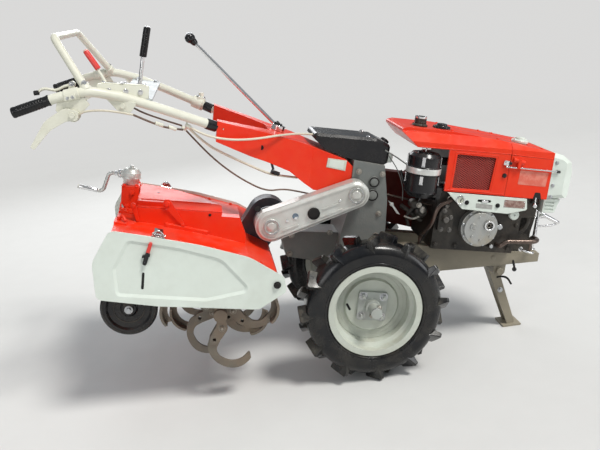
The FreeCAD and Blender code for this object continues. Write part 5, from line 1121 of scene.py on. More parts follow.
@dataclass(frozen=True)
class Tiller:
    """Levers, bolts and catches of the tiller hood, its gauge wheel and its tine shaft."""

    wall_y: float = 190.0
    gauge_x: float = -892.0
    crank_z: float = 352.0
    gauge_axle: Corner = (-876, 0, -160)
    rotor: tuple[float, float] = (-546.0, -45.0)
    tine_first: float = 64.0
    tine_pitch: float = 64.5

    TINE_TURNS = (72, 144, 216, 288, 0)

    def build(self) -> None:
        """Make the pieces."""
        for fitting in (self.panel_lever, self.latch):
            for side in Side:
                fitting(side)
        self.hood_bolts()
        self.guide_brackets()
        self.crank_fittings()
        self.gauge_fittings()
        self.tine_bolts()

    def panel_lever(self, side: Side) -> None:
        """Red tip and black joint of a side shield's lever, its slot, stop and front bolt."""
        name = f"tiller_panel_{side.hand}"
        tip, joint, bolt, slot, stop = (Form(side) for _ in range(5))
        tip.plate(belt((-802, 187, 6.4), (-795.6, 214, 6.0)), 378, 388.4)
        tip.place(f"{name}_lever_tip", RED_GRIP, bevel=1.6)
        joint.plate(belt((-811, 147, 7.2), (-803, 182, 6.6)), 376, 387.6)
        joint.plate([(-822, 164, 2), (-796, 170, 2), (-794, 179, 2), (-819, 174, 2)], 376, 386.4)
        joint.stud((-811, 387, 147), radius=5.4, height=4.4).stud((-803, 387, 181), radius=4.4, height=3.6)
        joint.place(f"{name}_lever_joint", BLACK_COVER, bevel=0.8)
        bolt.bolt((-366, 384.6, 96), across=15).place(f"{name}_bolt", BLACK_STEEL, bevel=0.8)
        # The shield's slot is a black plate: painted shade in the opening
        slot.plate(belt((-814, 57, 4.3), (-814, 107, 4.3)), 371, 375.4).place(f"{name}_slot", HOLE_SHADE_AND_BLACK)
        stop.bolt((-814, 375.2, 64), across=8, head=3, washer=False).place(f"{name}_stop", BLACK_STEEL)

    def latch(self, side: Side) -> None:
        """Chrome catch on the shelf of one side."""
        form = Form(side)
        form.sheet([(-796, 364, 229), (-748, 364, 222.6), (-748, 338, 222.6), (-796, 338, 229)], (0.3, 0, 3))
        form.tube([(-794, 351, 238), (-750, 351, 232)], 6.2, 16)
        form.sheet([(-788, 361, 240), (-756, 361, 236), (-758, 344, 252), (-786, 344, 256)], (0, -2.4, 2.4))
        form.tube([(-786, 362, 232), (-790, 368, 246), (-772, 366, 256), (-754, 364, 240), (-752, 358, 230)],
                  2.4)
        form.bolt((-790, 344, 231.5), (-754, 344, 226.6), axis=UP, across=7, head=3, washer=False)
        form.place(f"tiller_hood_{side.hand}_latch", CHROME, bevel=0.8)

    def hood_bolts(self) -> None:
        """Bolts of the raised box's wall and along the shelf's outer edges, and the wall's seams."""
        bolts, dark, seams = (Form(Side.RIGHT) for _ in range(3))
        face = self.wall_y + 6.8
        bolts.bolt((-753, face, 306), across=16, head=7)
        bolts.bolt((-868, face, 290), across=11, head=5)
        bolts.bolt((-695, face, 233), across=9, head=4)
        for form in bolts.both():
            form.bolt(*((x, 352, z) for x, z in ((-890, 237.2), (-700, 216.2), (-590, 200.4), (-500, 183.4),
                                                 (-425, 161))), axis=(0.12, 0, 1), across=10, head=4.5)
        bolts.place("tiller_hood_bolts", RED_ENAMEL, bevel=0.6)
        # The black studs and disc stand for holes in the hood: painted shade in them
        dark.stud(*on_face(self.wall_y, (-603, 274), (-599, 190)), radius=5, height=3.4)
        dark.lathe([(5.4, -1), (5.4, 0.9)], (-790, 20, 300), UP, 24)
        dark.place("tiller_hood_holes", BLACK_STEEL)
        seams.tube([(-852, 187, 287), (-700, 188, 287), (-560, 188, 287)], 1.8, smooth=False)
        seams.tube([(-846, 131, 301), (-740, 131, 301), (-600, 131, 301)], 1.5, smooth=False)
        seams.place("tiller_hood_seams", RED_ENAMEL)

    def guide_brackets(self) -> None:
        """Folded brackets that hold the guide to the hood's rear, with their bolts."""
        plates, bolts = Form(), Form()
        for form in plates.both():
            form.sheet([(-924, 50, 262), (-924, 96, 242), (-924, 96, 236), (-924, 50, 236)], (5, 0, 0))
            form.sheet([(-924, 52, 240), (-872, 52, 235), (-872, 104, 235), (-924, 104, 240)], (0, 0, 5))
            form.tube([(-914, 230, 246), (-900, 236, 262), (-888, 250, 248)], 5)
            form.sheet([(-926, 200, 239.5), (-884, 200, 234.5), (-884, 262, 234.5), (-926, 262, 239.5)],
                       (0, 0, 8))
        for form in bolts.both():
            form.bolt((-898, 84, 242), axis=UP, across=14, head=7).bolt((-912, 214, 246), axis=UP, head=7)
            form.bolt((-900, 48.6, 250), (-884, 48.6, 300), across=12)
            form.bolt((-914, 38, 321.8), (-870, 38, 321.8), axis=UP, across=12)
        plates.place("gauge_guide_brackets", RED_ENAMEL, bevel=1.4)
        bolts.place("gauge_guide_bolts", RED_ENAMEL, bevel=0.6)

    def crank_fittings(self) -> None:
        """Top nut, side bolts, snout ring and collars of the depth crank."""
        x, z = self.gauge_x, self.crank_z
        form, collars = Form(), Form()
        form.bolt((x, 0, z + 31), axis=UP, across=15, head=7)
        form.bolt((x + 4, -33.4, z + 5), axis=(0, -1, 0), head=5).bolt((x + 2, 33.4, z + 5), head=5)
        form.lathe([(34.6, -8), (35.2, -6), (35.2, -3), (34.6, -1)], (x, 0, z), UP, 48)
        form.place("crank_head_fittings", SILVER_CASTING, bevel=0.7)
        collars.lathe([(10.5, -3), (15.4, -2), (15.4, 4), (13, 6)], (-932, 0, z + 6), (-1, 0, 0))
        collars.lathe([(8.4, 0), (8.4, 9)], (-942, 0, z + 6), (-1, 0, 0), 24)
        collars.lathe([(7.6, -2), (8.0, 0), (8.0, 64), (7.4, 66)], (-1012, 0, 289.3), (-90, 0, 14), 24)
        collars.place("crank_handle_collars", CHROME, bevel=0.5)

    def gauge_fittings(self) -> None:
        """Nuts on the gauge wheel's pin, bands on its faces and the holes of its leg."""
        nuts, bands, holes = Form(), Form(), Form(Side.RIGHT)
        x, _, z = self.gauge_axle
        for form in nuts.both():
            form.bolt((x, 41, z), across=19, head=9)
        nuts.place("gauge_leg_nuts", ZINC, "gauge_leg", bevel=0.8)
        for form in bands.both():
            form.lathe([(100.2, 30), (100.2, 31.5), (97.6, 31.5), (97.6, 30)], self.gauge_axle, steps=96,
                       closed=True)
            form.lathe([(60, 22), (60, 24.4), (56, 24.4), (56, 22)], self.gauge_axle, steps=64, closed=True)
        bands.place("gauge_wheel_bands", DARK_CASTING, "gauge_wheel", bevel=0.5)
        # The leg's holes are black rods: painted shade in the openings
        for height in (190, 160, 130, 100):
            holes.lathe([(4.2, -15.2), (4.2, 15.2)], (self.gauge_x, 0, height), steps=20)
        holes.place("gauge_leg_holes", HOLE_SHADE_AND_BLACK, "gauge_leg")

    def tine_bolts(self) -> None:
        """Washer and thread end on both sides of each tine's holder, and the shaft's end caps."""
        x, z = self.rotor
        bolts, caps = Form(), Form()
        for form in bolts.both():
            for index, turn in enumerate(self.TINE_TURNS):
                station = self.tine_first + self.tine_pitch * index
                for flip in (0, 180):
                    angle = turn + flip + (90 if form.side is Side.LEFT else 0)
                    spot = Matrix.Rotation(math.radians(angle), 4, "Y") @ Vector((9, 0, -47))
                    for face in (-form.side.value, form.side.value):
                        place, axis = (x + spot.x, station + face * 13.0, z + spot.z), (0, face, 0)
                        form.lathe([(12.4, -0.4), (12.4, 1.6)], place, axis, 20)
                        form.lathe([(5.2, 5), (5.2, 8.0), (4.2, 8.8)], place, axis, 12)
        bolts.place("tine_rotor_bolts", WORN_STEEL, "tine_rotor", bevel=0.4)
        for form in caps.both():
            form.lathe([(24, 0), (24, 6), (12, 8.8)], (x, self.tine_first + self.tine_pitch * 4 + 14, z))
        caps.place("tine_rotor_caps", SOIL_STEEL, "tine_rotor", bevel=0.8)


# Engine


@dataclass(frozen=True)
class MeshWindow:
    """Fine diamond mesh of two layers of slanted strands, within one side's window and its lap."""

    side: Side
    near_x: float = 268.5
    far_x: float = 428.5
    low: float = 427.0
    high: float = 562.5
    face: float = 158.9
    pitch: float = 7.6
    strand: float = 0.85
    slope: float = 0.62
    lift: float = 1.1

    def build(self) -> None:
        """Make the strands, and the dark sheet behind them that is painted shade."""
        form = Form(self.side)
        half = self.strand
        for slope, depth in ((self.slope, 0.0), (-self.slope, self.lift)):
            for ends in self.strands(slope):
                form.loft([[form.at((x, self.face - depth + dy, z + dz)) for dy, dz in
                            ((-0.8, -half), (0.8, -half), (0.8, half), (-0.8, half))] for x, z in ends])
        hand = self.side.hand
        form.place(f"engine_mesh_{hand}_strands", MESH_RED, replaces=[f"engine_mesh_{hand}"])
        # Dark red sheet behind the strands: painted shade seen through the mesh
        dark = Form(self.side).plate([(272, 430), (424, 430), (428, 560), (272, 561)], 140, 139)
        dark.place(f"engine_mesh_{hand}_shade", PAINTED_SHADE_RED)

    def strands(self, slope: float) -> Iterator[Outline]:
        """Give the ends of each strand of one layer.

        Args:
            slope: Rise of the strands for each millimetre along x.

        Yields:
            The two ends (x, z), cut to the sheet's lower and upper edge.
        """
        reach = (self.far_x - self.near_x) * abs(slope)
        start = self.low - (reach if slope > 0 else 0.0)
        for count in range(int((self.high - self.low + reach) / self.pitch) + 1):
            base = start + count * self.pitch
            ends = [(x, base + (x - self.near_x) * slope) for x in (self.near_x, self.far_x)]
            heights = sorted(z for _, z in ends)
            if heights[1] <= self.low + 1 or heights[0] >= self.high - 1:
                continue
            kept = [(x, z, min(max(z, self.low), self.high)) for x, z in ends]
            found = [(x + (cut - z) / slope, cut) for x, z, cut in kept]
            if abs(found[0][0] - found[1][0]) > 2:
                yield found


@dataclass(frozen=True)
class EngineBay:
    """Catches, caps, gauge, bolts and pipes of the engine and its covers."""

    cover_y: float = 165.0
    skirt_y: float = 175.0
    block_y: float = 136.0
    crankshaft: tuple[float, float] = (405.0, 286.0)
    fuel_cap: Corner = (234, -60, 630.3)
    water_cap: Corner = (549, -60, 597.3)
    exhaust: tuple[float, float] = (150, -60)
    cleaner: tuple[float, float] = (166, -130)

    def build(self) -> None:
        """Make the pieces."""
        for side in Side:
            MeshWindow(side).build()
        self.hood_lines()
        for fitting in (self.hood_catch, self.side_patch):
            for side in Side:
                fitting(side)
        self.filler_caps()
        self.block_plugs()
        self.exhaust_rings()
        self.skirt_fittings()
        self.cleaner_fittings()
        self.gear_case_fittings()
        self.block_bolts()
        self.pump_fittings()
        self.pipes_and_wires()
        self.cowl_fittings()

    def hood_lines(self) -> None:
        """Rolled ridges along the hood and round its windows, and the hood's screws."""
        ridges, screws = Form(), Form()
        window = [(268, 565), (432, 563), (423, 425), (266, 425), (268, 565)]
        for form in ridges.both():
            form.tube([(100, 124.6, 622.4), (453, 124.6, 615.0)], 1.7)
            form.tube([(250, 60, 633.4), (453, 60, 615.6), (640, 60, 592.8)], 1.5, smooth=False)
            for start, end in (((128, 574), (478, 574)), ((484, 573), (644, 569)), ((252, 424), (474, 422))):
                form.tube(on_face(164.4, start, end), 1.6)
            for start, end in zip(window, window[1:]):
                form.tube(on_face(164.6, start, end), 1.5)
        ridges.place("hood_ridges", RED_ENAMEL)
        screws.bolt((262, 90, 633.2), (262, -100, 633.2), (440, 100, 617), (440, -106, 617), (500, 110, 610),
                    (620, 110, 595), (620, -110, 595), axis=(0.1, 0, 1), across=9, head=2.6)
        screws.place("hood_screws", RED_ENAMEL, bevel=0.4)

    def hood_catch(self, side: Side) -> None:
        """Hold-down rod along one side of the hood, its spring catch and its knob."""
        rod, dark, red = (Form(side) for _ in range(3))
        face = self.cover_y
        rod.tube([(463, 171, 527), (669, 171, 524)], 3.0)
        rod.plate([(452, 534, 3), (474, 532, 3), (476, 549, 4), (455, 551, 4)], face, 173)
        rod.bolt((462, 173, 542), across=9, head=3, washer=False)
        rod.place(f"hood_{side.hand}_rod", CHROME, bevel=0.8)
        dark.lathe([(5, -6), (5, 6), (3, 8)], (671, 171, 524), FORWARD, 20)
        dark.plate([(472, 536, 2), (484, 536, 2), (484, 546, 2), (472, 546, 2)], face, 174)
        dark.stud((466, face, 493), radius=8.6, height=7)
        dark.place(f"hood_{side.hand}_knob", BLACK_COVER, bevel=0.6)
        red.tube([(489, 168.5, 556), (534, 168.5, 546)], 8.2, 20)
        red.plate([(506, 524, 3), (518, 524, 3), (520, 560, 3), (508, 562, 3)], face, 178)
        red.place(f"hood_{side.hand}_catch", RED_ENAMEL, bevel=1.0)

    def side_patch(self, side: Side) -> None:
        """Faded blank patch and the dark notch with its silver drain knob on the housing's side."""
        patch, notch, knob = (Form(side) for _ in range(3))
        patch.plate([(523, 464, 4), (634, 462, 4), (637, 516, 4), (525, 518, 4)], 164, 165.3)
        patch.place(f"radiator_{side.hand}_patch", FADED_RED)
        # The notch is a black plate: painted shade in the recess
        notch.plate([(593, 414), (626, 414), (619, 438, 6), (598, 439, 6)], 164, 165.5)
        notch.place(f"radiator_{side.hand}_notch", HOLE_SHADE_AND_BLACK)
        knob.tube([(605, 158, 430), (605, 166, 408), (605, 163, 392)], 3).ball((606, 164, 387), 9.5)
        knob.place(f"radiator_{side.hand}_drain", CHROME)

    def filler_caps(self) -> None:
        """Ribbed fuel cap, radiator cap with its ears and the round oil cap."""
        black, pale, oil = Form(), Form(), Form(Side.RIGHT)
        black.lathe([(31.8, 0), (31.8, 9), (30.2, 12.4), (21, 14.4), (19.5, 20), (17, 21), (3, 21.2)],
                    self.fuel_cap, UP, 48)
        x, y, z = self.fuel_cap
        for spot in around(x, y, 30.6, range(0, 360, 30)):
            black.lathe([(2.6, 1.0), (2.6, 11.5)], (*spot, z), UP, 10)
        black.place("fuel_cap", BLACK_COVER, bevel=0.5, replaces=["filler_caps"])
        pale.lathe([(26, 0), (26, 8), (31.8, 9), (31.8, 17), (29.6, 20), (19.4, 21), (18.6, 28), (16, 29.6),
                    (3, 29.8)], self.water_cap, UP, 48)
        x, y, _ = self.water_cap
        for spot in around(x, y, 26, (20, 200)):
            pale.stud((*spot, 616), axis=UP, radius=5.4, height=4.4)
        pale.place("radiator_cap", WHITE_ENAMEL, bevel=0.8)
        oil.lathe([(14, 0), (14, 9), (19, 10), (19, 22), (17, 25.4), (3, 25.9)],
                  (536, self.block_y + 0.3, 344), steps=48)
        oil.plate([(533, 330, 2), (539, 330, 2), (539, 358, 2), (533, 358, 2)], 158, 162.2)
        oil.place("oil_cap", WHITE_ENAMEL, bevel=1.0)

    def block_plugs(self) -> None:
        """Bright plugs in front of the gear case."""
        plugs = Form(Side.RIGHT)
        for x, z, radius, deep in ((487, 294, 11, 24), (466, 216, 8, 23), (495, 220, 8, 20)):
            plugs.lathe([(radius, 0), (radius, deep), (radius * 0.8, deep + 2.4), (2, deep + 2.6)],
                        (x, self.block_y, z))
        plugs.place("block_plugs", ZINC, bevel=0.8)

    def exhaust_rings(self) -> None:
        """Bright rim, seam and screws of the exhaust stub."""
        foot = (*self.exhaust, 0), UP
        rim = Form().lathe([(22.5, 664), (22.9, 671.6), (16.6, 672.0), (16.6, 664)], *foot, 48, closed=True)
        rim.place("exhaust_rim", CHROME, bevel=0.4)
        band = Form().lathe([(22.4, 648), (22.9, 650), (22.4, 652), (21, 650)], *foot, 48, closed=True)
        for spot in around(*self.exhaust, 25, (40, 160, 280)):
            band.bolt((*spot, 640.6), axis=UP, across=6, head=3)
        band.place("exhaust_band", DARK_CASTING)

    def skirt_fittings(self) -> None:
        """Gauge, bolts, chrome slide and blank plates of the lower light panel."""
        dial, rim, hand, slide, slot, bolts, grey, brown, rivets = (Form(Side.RIGHT) for _ in range(9))
        face = self.skirt_y
        gauge = (309, face, 391)
        dial.lathe([(12.6, -1), (12.6, 1.6)], gauge, steps=40).place("gauge_dial", LABEL)
        rim.lathe([(17.4, -1), (17.4, 4.6), (13.4, 5.4), (13.4, -1)], gauge, steps=48, closed=True)
        rim.place("gauge_rim", CHROME, bevel=0.6)
        hand.plate([(308, 383), (310, 383), (316, 399), (314.5, 400)], face + 1.4, face + 2.2)
        hand.lathe([(2.2, 0), (2.2, 2.8)], gauge, steps=16).place("gauge_hand", HOLE_SHADE_AND_BLACK)
        slide.plate(belt((396, 392, 4.6), (412, 392, 4.6)), face - 3, face + 3)
        slide.place("skirt_slide", CHROME, bevel=0.8)
        # The slide's slot is a thin black plate: painted shade in the opening
        slot.plate(belt((381, 393, 4.8), (423, 393, 4.8)), face - 3.6, face - 3.0)
        slot.place("skirt_slot", HOLE_SHADE_AND_BLACK)
        bolts.bolt(*on_face(face, (335, 383), (456, 380)), across=10, head=5)
        bolts.place("skirt_bolts", BLACK_STEEL, bevel=0.5)
        grey.plate([(372, 366, 2), (436, 364, 2), (436, 381, 2), (372, 383, 2)], face - 1, face + 0.6)
        grey.place("skirt_grey_plate", GREY_PLATE)
        brown.plate([(480, 376, 2), (563, 376, 2), (561, 404, 2), (480, 404, 2)], face - 1, face + 0.8)
        brown.place("skirt_brown_plate", BROWN_PLATE)
        rivets.stud(*on_face(face + 0.6, (484, 400), (557, 400), (484, 380), (559, 380)), radius=2.2,
                    height=1.6)
        rivets.place("skirt_rivets", CHROME)

    def cleaner_fittings(self) -> None:
        """Silver band, clips, lid seam and wing nut of the air cleaner."""
        foot = (*self.cleaner, 0)
        band, clips, lid = Form(), Form(), Form()
        band.lathe([(64.4, 475), (65.0, 477), (65.0, 495), (64.4, 497), (60, 497), (60, 475)], foot, UP, 72,
                   closed=True)
        band.place("air_cleaner_band", PALE_METAL, bevel=0.5)
        lid.lathe([(60, 531), (62.6, 532), (62.6, 537), (60, 538), (56, 535)], foot, UP, 72, closed=True)
        lid.lathe([(61.4, 404), (62.4, 406), (61.4, 408), (58, 406)], foot, UP, 72, closed=True)
        lid.lathe([(30, 548), (30, 552), (27, 554), (5, 554.4)], foot, UP, 40)
        lid.place("air_cleaner_seams", BLACK_COVER)
        rise = Vector(UP)
        for out_x, out_y in around(0, 0, 1, (-110, -35, 85, 175)):
            out, across = Vector((out_x, out_y, 0)), Vector((-out_y, out_x, 0))
            middle = Vector(foot) + out * 62.5
            for low, high in ((506, 540), (440, 470)):
                clips.sheet([middle + across * shift + rise * height for shift, height in
                             ((-6, low), (6, low), (6, high), (-6, high))], out * 2.6)
                clips.tube([middle + across * shift + rise * low + out * 2 for shift in (-7, 7)], 2.6)
        clips.lathe([(4, 553), (4, 563), (3, 564)], foot, UP, 16)
        clips.plate([(150, 560, 3), (182, 560, 3), (186, 567, 3), (146, 567, 3)], -128.5, -131.5)
        clips.place("air_cleaner_clips", CHROME, bevel=0.6)

    def gear_case_fittings(self) -> None:
        """Bolts round the gear case, the bright crank ring and the case's small studs."""
        x, z = self.crankshaft
        bolts, ring, hole, dog, studs = (Form(Side.RIGHT) for _ in range(5))
        bolts.bolt(*on_face(163.8, *around(x, z, 66.8, range(10, 370, 40))), across=9, washer=False)
        bolts.place("gear_case_bolts", ZINC, bevel=0.5)
        crank = (x + 30, 186, z + 16)
        ring.lathe([(19.6, -6), (19.6, 0.6), (13.4, 0.6), (13.4, -6)], crank, steps=48, closed=True)
        ring.place("gear_case_ring", CHROME, bevel=1.2)
        # The crank hole is a black disc: painted shade in the opening
        hole.lathe([(12.6, -16), (12.6, -12)], crank).place("gear_case_hole", HOLE_SHADE_AND_BLACK)
        dog.lathe([(9.5, -20), (9.5, -6), (6, -5), (6, -20)], crank, steps=24, closed=True)
        dog.place("gear_case_dog", WORN_STEEL, bevel=0.6)
        studs.lathe([(6.6, -4), (6.6, 1.0), (4.4, 2)], (x - 28, 182, z + 5), steps=24)
        for across, rise in ((-30, -30), (4, -44), (40, -26), (-10, 44)):
            studs.lathe([(5.6, -1), (5.6, 2.4), (4.4, 3)], (x + across, 178, z + rise), steps=24)
        studs.place("gear_case_studs", GEAR_CASTING, bevel=0.5)

    def block_bolts(self) -> None:
        """Head bolts on both sides of the block."""
        bolts = Form()
        for form in bolts.both():
            last = (470, 250) if form.side is Side.LEFT else (540, 205)
            form.bolt(*on_face(self.block_y, (300, 548), (300, 470), (440, 548), (440, 470), (560, 396),
                               (610, 396), (560, 300), (250, 205), (330, 205), last), across=14, head=8)
        bolts.place("block_bolts", DARK_CASTING, bevel=0.6)

    def pump_fittings(self) -> None:
        """Nuts of the injection pump, the bright clutch bracket, and the governor with its cap."""
        pump, bright, dark, silver = (Form(Side.RIGHT) for _ in range(4))
        pump.bolt(*on_face(158.8, (258, 270), (290, 270), (288, 318), (262, 342)), across=11)
        pump.lathe([(9, 0), (9, 14), (6, 16), (6, 26)], (272, 148, 351), UP, 6)
        pump.lathe([(7.5, 0), (7.5, 12), (5, 14)], (288, 150, 380), UP, 6)
        pump.lathe([(11, 0), (11, 9), (8, 11)], (268, 165.5, 310), steps=24)
        pump.place("pump_nuts", DULL_STEEL, bevel=0.6)
        bright.sheet([(58, 98, 352), (76, 98, 342), (112, 98, 300), (98, 98, 304)], (0, -5, 0))
        bright.bolt((74, 98, 338), across=9, head=4).place("clutch_bracket_plate", PALE_METAL, bevel=0.8)
        dark.lathe([(24, 0), (27, 6), (27, 30), (20, 38), (8, 40)], (176, 92, 318), (0.3, 0.9, 0.3), 36)
        dark.lathe([(15, 0), (17, 4), (17, 34), (12, 40)], (150, 100, 352))
        dark.tube([(118, 70, 330), (142, 98, 318), (168, 106, 300), (196, 104, 286)], 9)
        dark.tube([(186, 80, 372), (176, 112, 360), (150, 118, 332), (134, 110, 300), (150, 96, 262)], 6)
        dark.place("governor_housing", DARK_CASTING, bevel=1.2)
        silver.lathe([(13, 0), (13, 8), (9, 10)], (184, 124, 331), (0.3, 0.9, 0.3), 24)
        silver.bolt((166, 140, 352), across=12)
        silver.tube([(124, 112, 300), (150, 128, 296), (176, 128, 306)], 4.5)
        silver.place("governor_cap", WORN_STEEL, bevel=0.6)

    def pipes_and_wires(self) -> None:
        """Cables and thin pipes between the gearbox, the pump and the air cleaner."""
        pale, dark, thin = (Form(Side.RIGHT) for _ in range(3))
        pale.tube([(22, 92, 539), (70, 102, 516), (130, 112, 482), (170, 104, 462), (198, 106, 452)], 2.4)
        pale.tube([(40, 80, 520), (78, 96, 470), (104, 104, 410), (112, 100, 356)], 1.8)
        pale.place("engine_wires", GREY_CASTING)
        dark.tube([(271, 150, 379), (250, 150, 330), (224, 146, 280), (207, 138, 239), (200, 112, 200)], 2.0)
        dark.tube([(90, 96, 470), (110, 112, 420), (150, 116, 386), (196, 112, 376), (236, 104, 372)], 5.0)
        dark.place("engine_hoses", BLACK_COVER)
        thin.tube([(284, 138, 388), (292, 150, 402), (310, 152, 408), (340, 146, 410), (352, 138, 412)], 2.6)
        thin.tube([(272, 148, 375), (270, 152, 392), (286, 158, 404), (318, 158, 410)], 2.6)
        thin.place("fuel_pipes", WORN_STEEL)

    def cowl_fittings(self) -> None:
        """Slots and screws of the front cowl, its brackets to the beams and the bright link."""
        slots, screws, link, brackets = Form(), Form(), Form(Side.RIGHT), Form()
        for form in brackets.both():
            form.plate([(574, 190), (646, 190), (640, 262), (650, 336), (574, 336)], 96, 101)
            form.plate([(588, 214, 8), (632, 214, 8), (628, 258, 8), (590, 258, 8)], 100, 104)
        brackets.tube([(600, -118, 352), (612, -120, 320), (604, -118, 286), (580, -116, 262)], 9)
        brackets.place("radiator_brackets", DARK_CASTING, bevel=1.2)
        # The cowl's slots are thin black sheets: painted shade in the openings
        for form in slots.both():
            for z in (442, 456, 470, 484, 498):
                form.sheet([(742.2, 20, z), (742.2, 104, z), (742.2, 104, z + 5), (742.2, 20, z + 5)],
                           (1.4, 0, 0))
        slots.place("front_cowl_slots", HOLE_SHADE_AND_BLACK)
        for form in screws.both():
            form.bolt(*on_face(164.8, (662, 426), (662, 470), (662, 556)), across=9, head=3)
        screws.place("front_cowl_screws", ZINC, bevel=0.4)
        link.tube([(595, 150, 208), (604, 158, 206), (632, 158, 200), (642, 150, 199)], 4.2)
        link.bolt((595, 140, 208), across=11)
        link.tube([(653, 108, 356), (655, 112, 320), (654, 120, 270), (653, 124, 252)], 4.0)
        link.place("front_guard_link", CHROME, bevel=0.4)


# Chassis


@dataclass(frozen=True)
class ChassisFittings:
    """Bolts and pins of the beams, the front stand's knob and rod, and the front guard's feet."""

    beam_y: float = 108.0

    def build(self) -> None:
        """Make the pieces."""
        bolts, pins, feet, stays = Form(), Form(), Form(), Form()
        for form in bolts.both():
            form.bolt(*on_face(self.beam_y, (84, 120), (84, 168), (120, 168)), across=15, head=8)
        bolts.place("chassis_bolts", WORN_STEEL, bevel=0.6)
        for form in pins.both():
            form.lathe([(15, -1), (15, 4), (12.4, 7)], (540, self.beam_y, 104))
            form.lathe([(9, -1), (9, 2), (6, 3)], (506, self.beam_y, 156), steps=24)
        pins.place("chassis_pins", KHAKI_ENAMEL, bevel=0.6)
        self.stand_fittings()
        for form in feet.both():
            form.lathe([(14, 0), (14, 4), (9, 5)], (678, 62, 187.3), UP)
            form.bolt((678, 40, 187.2), axis=UP, across=11, head=5)
        feet.place("front_guard_feet", CHROME, bevel=0.5)
        for form in stays.both():
            form.tube([(768, 52, 296), (742, 58, 289), (712, 61, 285), (680, 62, 284)], 4.6)
        stays.place("front_guard_stays", CHROME)

    def stand_fittings(self) -> None:
        """Black knob on the beam, and the stand's lock rod and leg bolts."""
        knob = Form().tube([(588, -105, 152), (596, -113, 126)], 4.5).ball((597, -114, 117), 9)
        knob.place("stand_knob", BLACK_COVER)
        rod = Form().tube([(570, -28, 52), (586, -34, 58), (610, -38, 54), (632, -38, 30)], 4.2)
        rod.place("stand_lock_rod", BLACK_STEEL, "front_stand")
        bolts = Form()
        for form in bolts.both():
            form.bolt((593, 30.4, 0))
        bolts.place("stand_leg_bolts", ZINC, "front_stand")


# Studio


@dataclass(frozen=True)
class PhotoCamera:
    """The photograph's viewpoint, solved from the wheel, the handles and the ground."""

    place: tuple[float, float, float] = (-0.3697, -2.809, 1.3625)
    yaw: float = 6.145
    pitch: float = 16.49
    roll: float = 5.138
    lens: float = 45.85
    sensor: float = 36.0

    def build(self) -> None:
        """Make the camera and set it as the scene's own."""
        yaw, pitch, roll = (math.radians(angle) for angle in (self.yaw, self.pitch, self.roll))
        ahead = Vector((math.sin(yaw) * math.cos(pitch), math.cos(yaw) * math.cos(pitch), -math.sin(pitch)))
        level = Vector((math.cos(yaw), -math.sin(yaw), 0.0))
        below = ahead.cross(level)
        right = math.cos(roll) * level + math.sin(roll) * below
        down = math.cos(roll) * below - math.sin(roll) * level
        data = bpy.data.cameras.new("photo_camera")
        data.lens, data.sensor_width = self.lens, self.sensor
        camera = bpy.data.objects.new("photo_camera", data)
        turn = Matrix((right, -down, -ahead)).transposed().to_4x4()
        camera.matrix_world = Matrix.Translation(self.place) @ turn
        bpy.context.scene.collection.objects.link(camera)
        bpy.context.scene.camera = camera


@dataclass(frozen=True)
class StudioLight:
    """One studio light that shines from its place towards the machine."""

    name: str
    place: tuple[float, float, float]
    power: float
    colour: Colour = (1.0, 1.0, 1.0)

    KIND = "POINT"
    AIM = Vector((0.0, 0.0, 0.0))

    def shape(self, data: bpy.types.Light) -> None:
        """Set the light's own size."""
        raise NotImplementedError

    def build(self) -> None:
        """Hang the light."""
        data = bpy.data.lights.new(self.name, self.KIND)
        data.energy, data.color = self.power, self.colour
        self.shape(data)
        light = bpy.data.objects.new(self.name, data)
        light.location = self.place
        light.rotation_euler = (Vector(self.place) - self.AIM).to_track_quat("Z", "Y").to_euler()
        bpy.context.scene.collection.objects.link(light)


@dataclass(frozen=True)
class SoftBox(StudioLight):
    """One rectangular light."""

    width: float = 1.2
    height: float = 1.6

    KIND = "AREA"
    AIM = Vector((0.0, 0.0, 0.55))

    def shape(self, data: bpy.types.Light) -> None:
        """Set the rectangle."""
        data.shape, data.size, data.size_y = "RECTANGLE", self.width, self.height


@dataclass(frozen=True)
class Sun(StudioLight):
    """Distant light with a wide, soft disc, whose place is only its direction."""

    angle: float = 16.0

    KIND = "SUN"

    def shape(self, data: bpy.types.Light) -> None:
        """Set the disc."""
        data.angle = math.radians(self.angle)


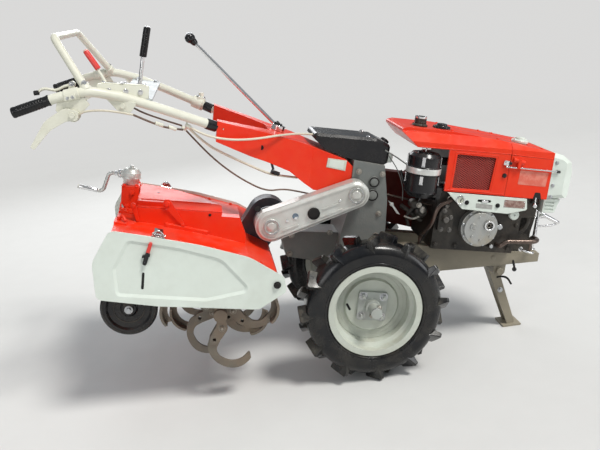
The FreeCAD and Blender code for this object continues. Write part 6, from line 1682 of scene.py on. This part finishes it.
class Studio:
    """Pale floor, even air, a soft sun, soft boxes and the photograph's camera."""

    FLOOR_HALF = 12.0
    FLOOR = Finish("pale_floor", "white_paint", (0.60, 0.60, 0.59), (0.57, 0.57, 0.56), 0.8,
                   grain=(120, 0.02), drift=0.5, drift_scale=1.5, dust=0.0)
    FADE = (2.6, 8.0)
    BACKDROP = (0.70, 0.697, 0.69, 1)
    SKY = ((0.10, 0.11, 0.12, 1), (0.42, 0.44, 0.46, 1))
    SKY_HEIGHT = (-0.25, 0.8)
    COOL = (0.95, 0.97, 1.0)
    LIGHTS = (
        Sun("soft_sun", (0.55, -0.48, 1.1), 2.9, (1.0, 0.98, 0.94)),
        SoftBox("side_box", (-2.4, -3.2, 1.9), 26, width=1.6),
        SoftBox("front_box", (3.2, -1.4, 1.5), 22, COOL),
        SoftBox("back_box", (-0.6, 3.4, 2.0), 36, COOL, 2.6, 1.0),
    )

    def build(self) -> None:
        """Set up the floor, the air, the lights and the camera."""
        PhotoCamera().build()
        half = self.FLOOR_HALF
        mesh = bpy.data.meshes.new("floor")
        corners = [(-half, -half, 0), (half, -half, 0), (half, half, 0), (-half, half, 0)]
        mesh.from_pydata(corners, [], [(0, 1, 2, 3)])
        mesh.materials.append(self.floor_material())
        floor = bpy.data.objects.new("floor", mesh)
        bpy.context.scene.collection.objects.link(floor)
        for light in self.LIGHTS:
            light.build()
        self.air()
        bpy.context.scene.view_settings.view_transform = "Standard"

    def floor_material(self) -> bpy.types.Material:
        """Let the floor's finish pass into the backdrop's tone away from the machine.

        Returns:
            The floor's material.
        """
        made = self.FLOOR.material()
        graph = Graph(made.node_tree)
        away = graph.node("VectorMath", operation="LENGTH")
        graph.feed(away.inputs[0], graph.place())
        tone = graph.node("Emission", Color=self.BACKDROP, Strength=1.0)
        blend = graph.node("MixShader")
        for socket, value in zip(blend.inputs, (graph.ramp(away.outputs["Value"], *self.FADE),
                                                made.node_tree.nodes["Principled BSDF"].outputs["BSDF"],
                                                tone.outputs["Emission"])):
            graph.feed(socket, value)
        graph.feed(made.node_tree.nodes["Material Output"].inputs["Surface"], blend.outputs[0])
        return made

    def air(self) -> None:
        """Sky light that fades towards the ground, and a flat pale backdrop behind the floor."""
        world = bpy.data.worlds.new("studio_air")
        world.use_nodes = True
        graph = Graph(world.node_tree)
        height = graph.node("SeparateXYZ", Vector=graph.node("TexCoord").outputs["Generated"]).outputs["Z"]
        sky = graph.mix(graph.ramp(height, *self.SKY_HEIGHT), *self.SKY)
        seen = graph.node("LightPath").outputs["Is Camera Ray"]
        shade = world.node_tree.nodes["Background"]
        graph.feed(shade.inputs["Color"], graph.mix(seen, sky, self.BACKDROP))
        shade.inputs["Strength"].default_value = 1.0
        bpy.context.scene.world = world


def main() -> None:
    """Build the studio and every piece, in order."""
    logging.basicConfig(level=logging.INFO, format="%(message)s")
    Studio().build()
    dress_nodes(frame["nodes"])
    for assembly in (*(DriveWheel(side) for side in Side), *CABLES, Handles(), DriveCases(), Tiller(),
                     EngineBay(), ChassisFittings()):
        assembly.build()


if __name__ == "__main__":
    main()
